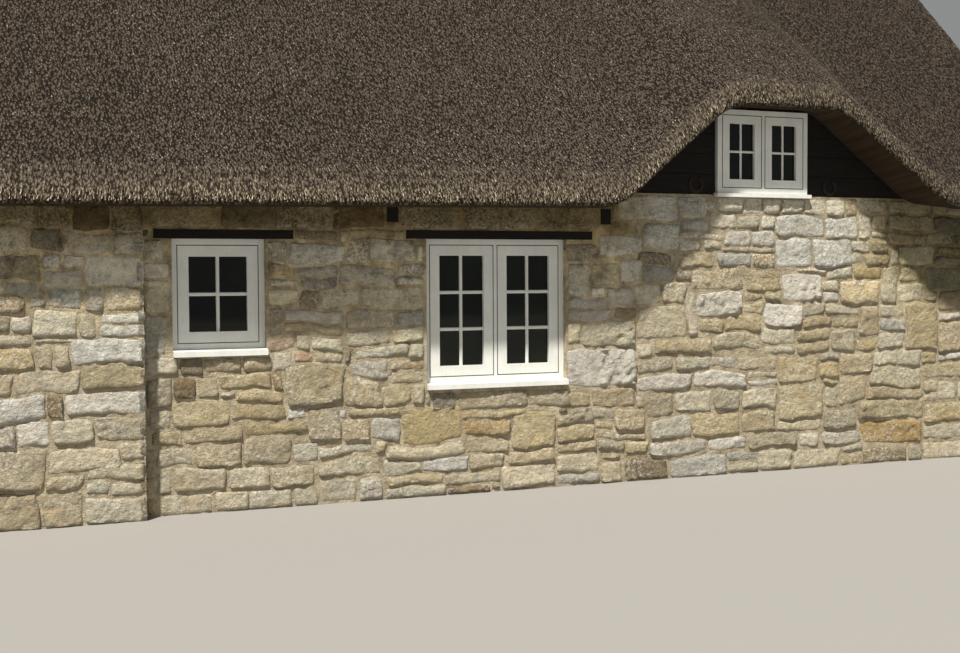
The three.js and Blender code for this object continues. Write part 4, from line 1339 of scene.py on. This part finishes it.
def step_stones(shell, draw):
    """The end of the thicker stretch: each stone of its last upright row, seen from the side."""
    end = Wall((PROUD_EDGE, -PROUD_FACE, 0), (0, 1, 0), (1, 0, 0), 0, 12, 197)
    for left, right, bottom, top, tone in read_stones(PROUD_STONES):
        if right > 100 * PROUD_EDGE - 6:
            add_stone(shell, end, (-1.2, 11.8, bottom, top, tone), draw, 0.03, 0.01, square=True)


def rubble():
    """Lays every wall: quoins up the corners, then the listed stones, then rough courses."""
    main, proud = front_faces()
    back, right, left = other_faces()
    draw = random.Random(5)
    shells = {wall: Shell() for wall in (main, proud, back, right, left)}
    corners = ((main, right, 192), (right, back, 192), (back, left, 192), (left, proud, 178))
    for first, second, head in corners:
        tops = [19.0]
        while tops[-1] < head - 24:
            tops.append(tops[-1] + draw.uniform(15, 22))
        add_quoins((first, shells[first], 1), (second, shells[second], -1), draw, [*tops, head])
    plain = ("", "tthhccppgwwdb", (10, 21), 0.055)
    for wall, (text, tones, courses, step) in (
        (main, (MAIN_STONES, "tthhccppgwd", (9, 19), 0.021)),
        (proud, (PROUD_STONES, "ttppwwhgdb", (9, 19), 0.021)),
        (back, plain), (right, plain), (left, plain),
    ):
        stones = wall.grow(read_stones(text))
        stones += wall.fill(draw, tones, courses, (15, 54))
        for stone in stones:
            add_stone(shells[wall], wall, stone, draw, step)
    step_stones(shells[proud], draw)
    for wall, name in zip(shells, ("front", "proud", "back", "right_gable", "left_gable")):
        shells[wall].piece(f"{name}_rubble", "stone", STONE, smooth=60)


STACK_CAP_OUT = 0.035  # how far the stack's cap stands out past its shaft
STACK_BLOCKS = (STACK_FROM, 612)  # heights in centimetres that the shaft's blocks fill
STACK_TOP_COURSE = (619.2, 634.8)  # the course over the cap band


QUOIN_LENGTHS = ((46, 26), (24, 44))  # on the first wall and the second, in turn up the corner


def add_quoins(first, second, draw, tops):
    """Larger squared blocks up a corner, long on one face and then on the other.

    first and second are (wall, shell, sign): sign is 1 where the corner is at the wall's right end.
    """
    bottom = 0.0
    for i, top in enumerate(tops):
        tone = draw.choice("ttpwgc")
        for (wall, shell, sign), length in zip((first, second), QUOIN_LENGTHS[i % 2]):
            corner = wall.left + wall.width if sign > 0 else wall.left
            span = sorted((corner + 1.2 * sign, corner - (length + draw.uniform(-4, 4)) * sign))
            add_stone(shell, wall, (*span, bottom + 0.2, top - 0.6, tone), draw, 0.045, square=True)
            wall.claim(*span, bottom, top)
        bottom = top


def chimney_stones():
    """Squared blocks round the stack, laid to break joint, with a cap course that stands on its own band."""
    low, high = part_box("chimney_stack")
    x = (low.x + STACK_CAP_OUT, high.x - STACK_CAP_OUT)
    y = (low.y + STACK_CAP_OUT, high.y - STACK_CAP_OUT)
    faces = (
        ((x[0], 0, 0), (0, -1, 0), (-1, 0, 0), y),
        ((x[1], 0, 0), (0, 1, 0), (1, 0, 0), y),
        ((0, y[0], 0), (1, 0, 0), (0, -1, 0), x),
        ((0, y[1], 0), (-1, 0, 0), (0, 1, 0), (-x[1], -x[0])),
    )
    draw = random.Random(3)
    shell = Shell()
    tops = [STACK_BLOCKS[0]]
    while tops[-1] < STACK_BLOCKS[1] - 2:
        tops.append(min(tops[-1] + draw.uniform(12, 17), STACK_BLOCKS[1]))
    cap_band = (tops[-1], STACK_TOP_COURSE[0])
    for i, (bottom, top) in enumerate([*zip(tops, tops[1:]), cap_band, STACK_TOP_COURSE]):
        if (bottom, top) == cap_band:
            continue
        for origin, along, outward, (start, end) in faces:
            wall = Wall(origin, along, outward, 0, 1, 1)
            span = (end - start) * 100
            parts = 2 if span < 60 else 3
            shift = 0.25 if i % 2 else -0.05
            cuts = [start * 100 + span * (k + shift * (0 < k < parts)) / parts for k in range(parts + 1)]
            for a, b in zip(cuts, cuts[1:]):
                block = (a + 0.4, b - 0.4, bottom + 0.4, top - 0.5, draw.choice("tthcgp"))
                add_stone(shell, wall, block, draw, 0.03, 0.008)
    shell.piece("chimney_blocks", "stone", STONE, smooth=60)


# Joinery


BAR_BACK = 0.0245  # from a sash's face back to its glass
BAR_SLOPE = 0.0045  # how far a bar narrows on each side
LET_IN = 0.001  # how far a bar's ends reach into the sash


def bar_outline(middle, half, back, ledge, fore):
    """A bar's section in (across, depth): square at the glass, with a slope on each side in front."""
    tip = half - BAR_SLOPE
    return [
        (middle - half, back), (middle + half, back), (middle + half, ledge),
        (middle + tip, fore), (middle - tip, fore), (middle - half, ledge),
    ]


def glazing_bars():
    """Narrow bars in front of the glass, with a sloped edge on each side."""
    shell = Shell()

    def bars(sash, upright, level, stile, half, depth):
        low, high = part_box(sash)
        facing = -1 if low.y < 0 else 1
        back = (low.y if facing < 0 else high.y) - facing * BAR_BACK
        fore, ledge = back + facing * depth, back + facing * depth / 2
        near = fore + facing * -0.0004  # the level bars stay a hair behind the upright ones
        x0, x1, z0, z1 = low.x + stile, high.x - stile, low.z + stile, high.z - stile
        for k in range(upright):
            x = x0 + (x1 - x0) * (k + 1) / (upright + 1)
            shell.add(*prism(bar_outline(x, half, back, ledge, fore), "Z", z0 - LET_IN, z1 + LET_IN))
        for k in range(level):
            z = z0 + (z1 - z0) * (k + 1) / (level + 1)
            outline = [(y, across) for across, y in bar_outline(z, half, back, ledge, near)]
            shell.add(*prism(outline, "X", x0 - LET_IN, x1 + LET_IN))

    ground_floor = {"stile": 0.07, "half": 0.0115, "depth": 0.0125}
    dormer = {"stile": 0.06, "half": 0.0085, "depth": 0.01}
    for sash in ("small_window_sash", "back_window_sash"):
        bars(sash, 1, 1, **ground_floor)
    for side in ("left", "right"):
        bars(f"wide_window_{side}_sash", 1, 2, **ground_floor)
        bars(f"dormer_window_{side}_sash", 1, 1, **dormer)
        bars(f"back_dormer_window_{side}_sash", 1, 1, **dormer)
    shell.piece("glazing_bars", "white", WHITE)


def sash_seals():
    """The dark seal in the gap all round each sash, which also stands for the gap's shade as painted shade.
    """
    shell = Shell()
    half = 0.0026
    middle = 0.0015  # the seal's middle line runs this far outside the sash
    for name in frame["nodes"]:
        if not name.endswith("sash"):
            continue
        low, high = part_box(name)
        turn = 1 if low.y < 0 else -1
        front = min(turn * low.y, turn * high.y)
        y = sorted((turn * (front - 0.0009), turn * (front + 0.004)))
        x0, x1, z0, z1 = low.x - middle, high.x + middle, low.z - middle, high.z + middle
        strips = (
            (x0 - half, x0 + half, z0 - half, z1 + half), (x1 - half, x1 + half, z0 - half, z1 + half),
            (x0 + half, x1 - half, z0 - half, z0 + half), (x0 + half, x1 - half, z1 - half, z1 + half),
        )
        for a, b, c, d in strips:
            shell.add(*prism([(a, c), (b, c), (b, d), (a, d)], "Y", *y))
    shell.piece("sash_seals", "dark", SEAL_AND_GAP_SHADE)


BOARD_HIGH = 0.149
BOARD_PITCH = 0.152
BEHIND_THATCH = 0.04  # how far a board runs on past the arch's edge


def dormer_boards():
    """Broad level boards either side of each dormer window, run on behind the thatch."""
    low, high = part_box("dormer_boarding")
    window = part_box("dormer_window_frame")
    inner, outer = window[0].x + 0.01, window[1].x - 0.01
    x = (inner - 0.01, outer + 0.01)
    z = (window[1].z + 0.002, high.z + 0.03)
    head = [(x[0], z[0]), (x[1], z[0]), (x[1], z[1]), (x[0], z[1])]
    arch = [ARCH_CENTRE - 1.6 + 0.02 * k for k in range(161)]
    depth = DRIP + low.y
    for name, turn in (("", 1), ("back_", -1)):
        shell = Shell()
        y = sorted((turn * low.y, turn * high.y))
        bottom = low.z
        while bottom < high.z - 0.01:
            top = min(bottom + BOARD_HIGH, high.z + 0.02)
            below = [x for x in arch if soffit(x, depth) > bottom + 0.006]
            above = [x for x in arch if soffit(x, depth) > top] or [ARCH_CENTRE]
            left = (below[0] - BEHIND_THATCH, min(above[0] - BEHIND_THATCH, inner - 0.02))
            right = (below[-1] + BEHIND_THATCH, max(above[-1] + BEHIND_THATCH, outer + 0.02))
            for outline in (
                [(left[0], bottom), (inner, bottom), (inner, top), (left[1], top)],
                [(outer, bottom), (right[0], bottom), (right[1], top), (outer, top)],
            ):
                shell.add(*prism([(turn * u, v) for u, v in outline], "Y", *y))
            bottom += BOARD_PITCH
        shell.add(*prism([(turn * u, v) for u, v in head], "Y", *y))
        shell.piece(f"{name}dormer_boards", "dark", DARK_TIMBER, replaces=[f"{name}dormer_boarding"])


SHOE_PARTS = 40
SHOE_OPEN = 0.62  # half of the open angle at the heels


def shoe_section(outer, web):
    """Points across a shoe as (radius, height): a flat back, worn rims and a groove for the nails."""
    inner = outer - web
    return [
        (outer, 0.0), (outer, 0.007), (outer - 0.002, 0.009), (outer - web * 0.3, 0.009),
        (outer - web * 0.38, 0.0065), (outer - web * 0.55, 0.0065), (outer - web * 0.63, 0.009),
        (inner + 0.002, 0.009), (inner, 0.007), (inner, 0.0),
    ]


def horseshoes():
    """Old shoes: an arch of iron with a groove, narrower at the heels and drawn in there."""
    for side in ("left", "right"):
        low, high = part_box(f"{side}_horseshoe")
        middle, radius = (low.x + high.x) / 2, (high.x - low.x) / 2
        rings = []
        for i in range(SHOE_PARTS + 1):
            share = i / SHOE_PARTS
            angle = math.pi / 2 + SHOE_OPEN + (2 * math.pi - 2 * SHOE_OPEN) * share
            web = 0.017 + 0.007 * math.sin(math.pi * share)
            outer = radius * (1 - 0.1 * abs(2 * share - 1) ** 3)
            rings.append([
                (middle + r * math.cos(angle), high.y - lift, low.z + radius + r * math.sin(angle))
                for r, lift in shoe_section(outer, web)
            ])
        shell = Shell()
        shell.add(*loft(rings))
        shell.piece(f"{side}_shoe", "iron", IRON, replaces=[f"{side}_horseshoe"], smooth=40)


PLANKS = 6
STRAP = ((0.01, 0.022), (0.5, 0.012), (0.53, 0.018))  # a hinge's half width, by the place along it
STRAP_LONG = 0.56
LATCH_RING = 0.038


def plank_door():
    """Vertical planks with open joints, on two strap hinges, with a ring latch."""
    low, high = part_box("plank_door")
    shell = Shell()
    width = (high.x - low.x) / PLANKS
    for k in range(PLANKS):
        x0 = low.x + k * width
        x1 = x0 + width
        top = high.z - rng.uniform(0, 0.001)
        front = [low.y + rng.uniform(0, 0.0015) for _ in range(2)]
        outline = [
            (x0 + 0.002, high.y), (x0 + 0.002, low.y + 0.007), (x0 + 0.008, front[0]),
            (x1 - 0.008, front[1]), (x1 - 0.002, low.y + 0.007), (x1 - 0.002, high.y),
        ]
        shell.add(*prism(outline, "Z", low.z, top))
    shell.piece("door_planks", "door", DOOR_PAINT, replaces=["plank_door"])
    iron = Shell()
    for z in (low.z + 0.28, high.z - 0.28):
        below = [(low.x + x, z - half) for x, half in STRAP]
        above = [(low.x + x, z + half) for x, half in STRAP[::-1]]
        iron.add(*prism([*below, (low.x + STRAP_LONG, z), *above], "Y", low.y - 0.005, low.y + 0.002))
        for k in range(5):
            iron.add(*dome(Vector((low.x + 0.05 + 0.1 * k, low.y - 0.005, z)), 0.008))
    latch = Vector((high.x - 0.09, low.y, (low.z + high.z) / 2 + 0.02))
    iron.add(*dome(latch, 0.024))
    turns = [2 * math.pi * k / 24 for k in range(24)]
    ring = [Vector((LATCH_RING * math.sin(a), -0.014, -LATCH_RING + LATCH_RING * math.cos(a))) for a in turns]
    iron.add(*tube([latch + spot for spot in ring], 0.0045))
    iron.piece("door_ironwork", "iron", IRON, smooth=50)


def dome(centre, radius, sides=10):
    """A low domed stud that faces the front."""
    rings = ((1.0, 0.001), (1.0, -0.002), (0.8, -0.35 * radius), (0.4, -0.55 * radius))
    vertices = []
    for share, y in rings:
        for k in range(sides):
            angle = 2 * math.pi * k / sides
            x, z = radius * share * math.cos(angle), radius * share * math.sin(angle)
            vertices.append(centre + Vector((x, y, z)))
    faces = flipped(joined(len(rings), sides))
    faces.append(tuple(range(sides))[::-1])
    faces.append(tuple(range(3 * sides, 4 * sides)))
    return vertices, faces


# Profiles in (radius, height over the foot of the pot)
POT = (
    (0.142, 0.0), (0.168, 0.0), (0.17, 0.012), (0.17, 0.042), (0.162, 0.056), (0.152, 0.066), (0.149, 0.08),
    (0.143, 0.2), (0.138, 0.34), (0.142, 0.35), (0.154, 0.362), (0.156, 0.375), (0.156, 0.4), (0.15, 0.414),
    (0.142, 0.42), (0.12, 0.42), (0.114, 0.412), (0.118, 0.3), (0.128, 0.1),
)
BED = (
    (0.002, -0.02), (0.17, -0.02), (0.24, -0.012), (0.235, -0.004),
    (0.2, 0.02), (0.176, 0.03), (0.171, 0.031), (0.002, 0.031),
)


def chimney_pot():
    """The pot, and the worn mortar that beds it on the stack."""
    low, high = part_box("chimney_pot")
    centre = ((low.x + high.x) / 2, (low.y + high.y) / 2, low.z)
    pot, bed = Shell(), Shell()
    pot.add(*lathe(POT, centre))
    pot.piece("clay_pot", "clay", CLAY, replaces=["chimney_pot"], smooth=50)
    bed.add(*lathe(BED, centre, 32))
    bed.piece("pot_bedding", "stone", MORTAR, smooth=40)


# Finishes of the frame's own pieces


def dress_frame():
    finishes = {
        "stone": MORTAR, "flags": FLAGS, "thatch": THATCH_CORE, "white": WHITE, "dark": DARK_TIMBER,
        "timber": TIMBER, "glass": GLASS, "iron": IRON, "door": DOOR_PAINT, "clay": CLAY,
    }
    for part in frame["record"]["subparts"]:
        solid = frame["nodes"][part["node"]]
        solid.data.materials.clear()
        solid.data.materials.append(finishes[part["material_slot"]])
    frame["nodes"]["upper_floor"].data.materials[0] = DARK_TIMBER


# The studio


def studio():
    mesh = bpy.data.meshes.new("studio_floor")
    far = 40.0
    mesh.from_pydata([(-far, -far, 0), (far, -far, 0), (far, far, 0), (-far, far, 0)], [], [(0, 1, 2, 3)])
    floor = bpy.data.objects.new("studio_floor", mesh)
    mesh.materials.append(floor_finish())
    bpy.context.scene.collection.objects.link(floor)
    world = bpy.data.worlds.new("studio")
    bpy.context.scene.world = world
    bpy.context.scene.view_settings.view_transform = "Standard"
    world.use_nodes = True
    world.node_tree.nodes["Background"].inputs["Color"].default_value = (0.98, 0.99, 1.0, 1)
    world.node_tree.nodes["Background"].inputs["Strength"].default_value = 0.27
    key = bpy.data.lights.new("key", "SUN")
    key.energy = 6.4
    key.angle = math.radians(2.4)
    key.color = (1.0, 0.955, 0.88)
    lamp = bpy.data.objects.new("key", key)
    lamp.rotation_euler = Vector((0.9, 1.0, -2.3)).to_track_quat("-Z", "Y").to_euler()
    bpy.context.scene.collection.objects.link(lamp)


def camera():
    """The photograph's camera, at the height of a person's eye."""
    yaw, pitch, roll = 0.4044672, 0.0380206, -0.00532312
    lens = bpy.data.cameras.new("camera")
    lens.lens = 50
    lens.sensor_width = 36
    ahead = Vector((math.sin(yaw) * math.cos(pitch), math.cos(yaw) * math.cos(pitch), -math.sin(pitch)))
    level = Vector((math.cos(yaw), -math.sin(yaw), 0))
    up = level.cross(ahead)
    right = level * math.cos(roll) + up * math.sin(roll)
    top = up * math.cos(roll) - level * math.sin(roll)
    made = bpy.data.objects.new("camera", lens)
    turned = Matrix((right, top, -ahead)).transposed().to_4x4()
    made.matrix_world = Matrix.Translation((-3.18, -11.2, 1.51)) @ turned
    bpy.context.scene.collection.objects.link(made)
    bpy.context.scene.camera = made


camera()
studio()
dress_frame()
thatch_coats()
reed_ends()
ridge_cap()
ridge_sedge()
ridge_rods()
rubble()
chimney_stones()
glazing_bars()
sash_seals()
dormer_boards()
horseshoes()
plank_door()
chimney_pot()
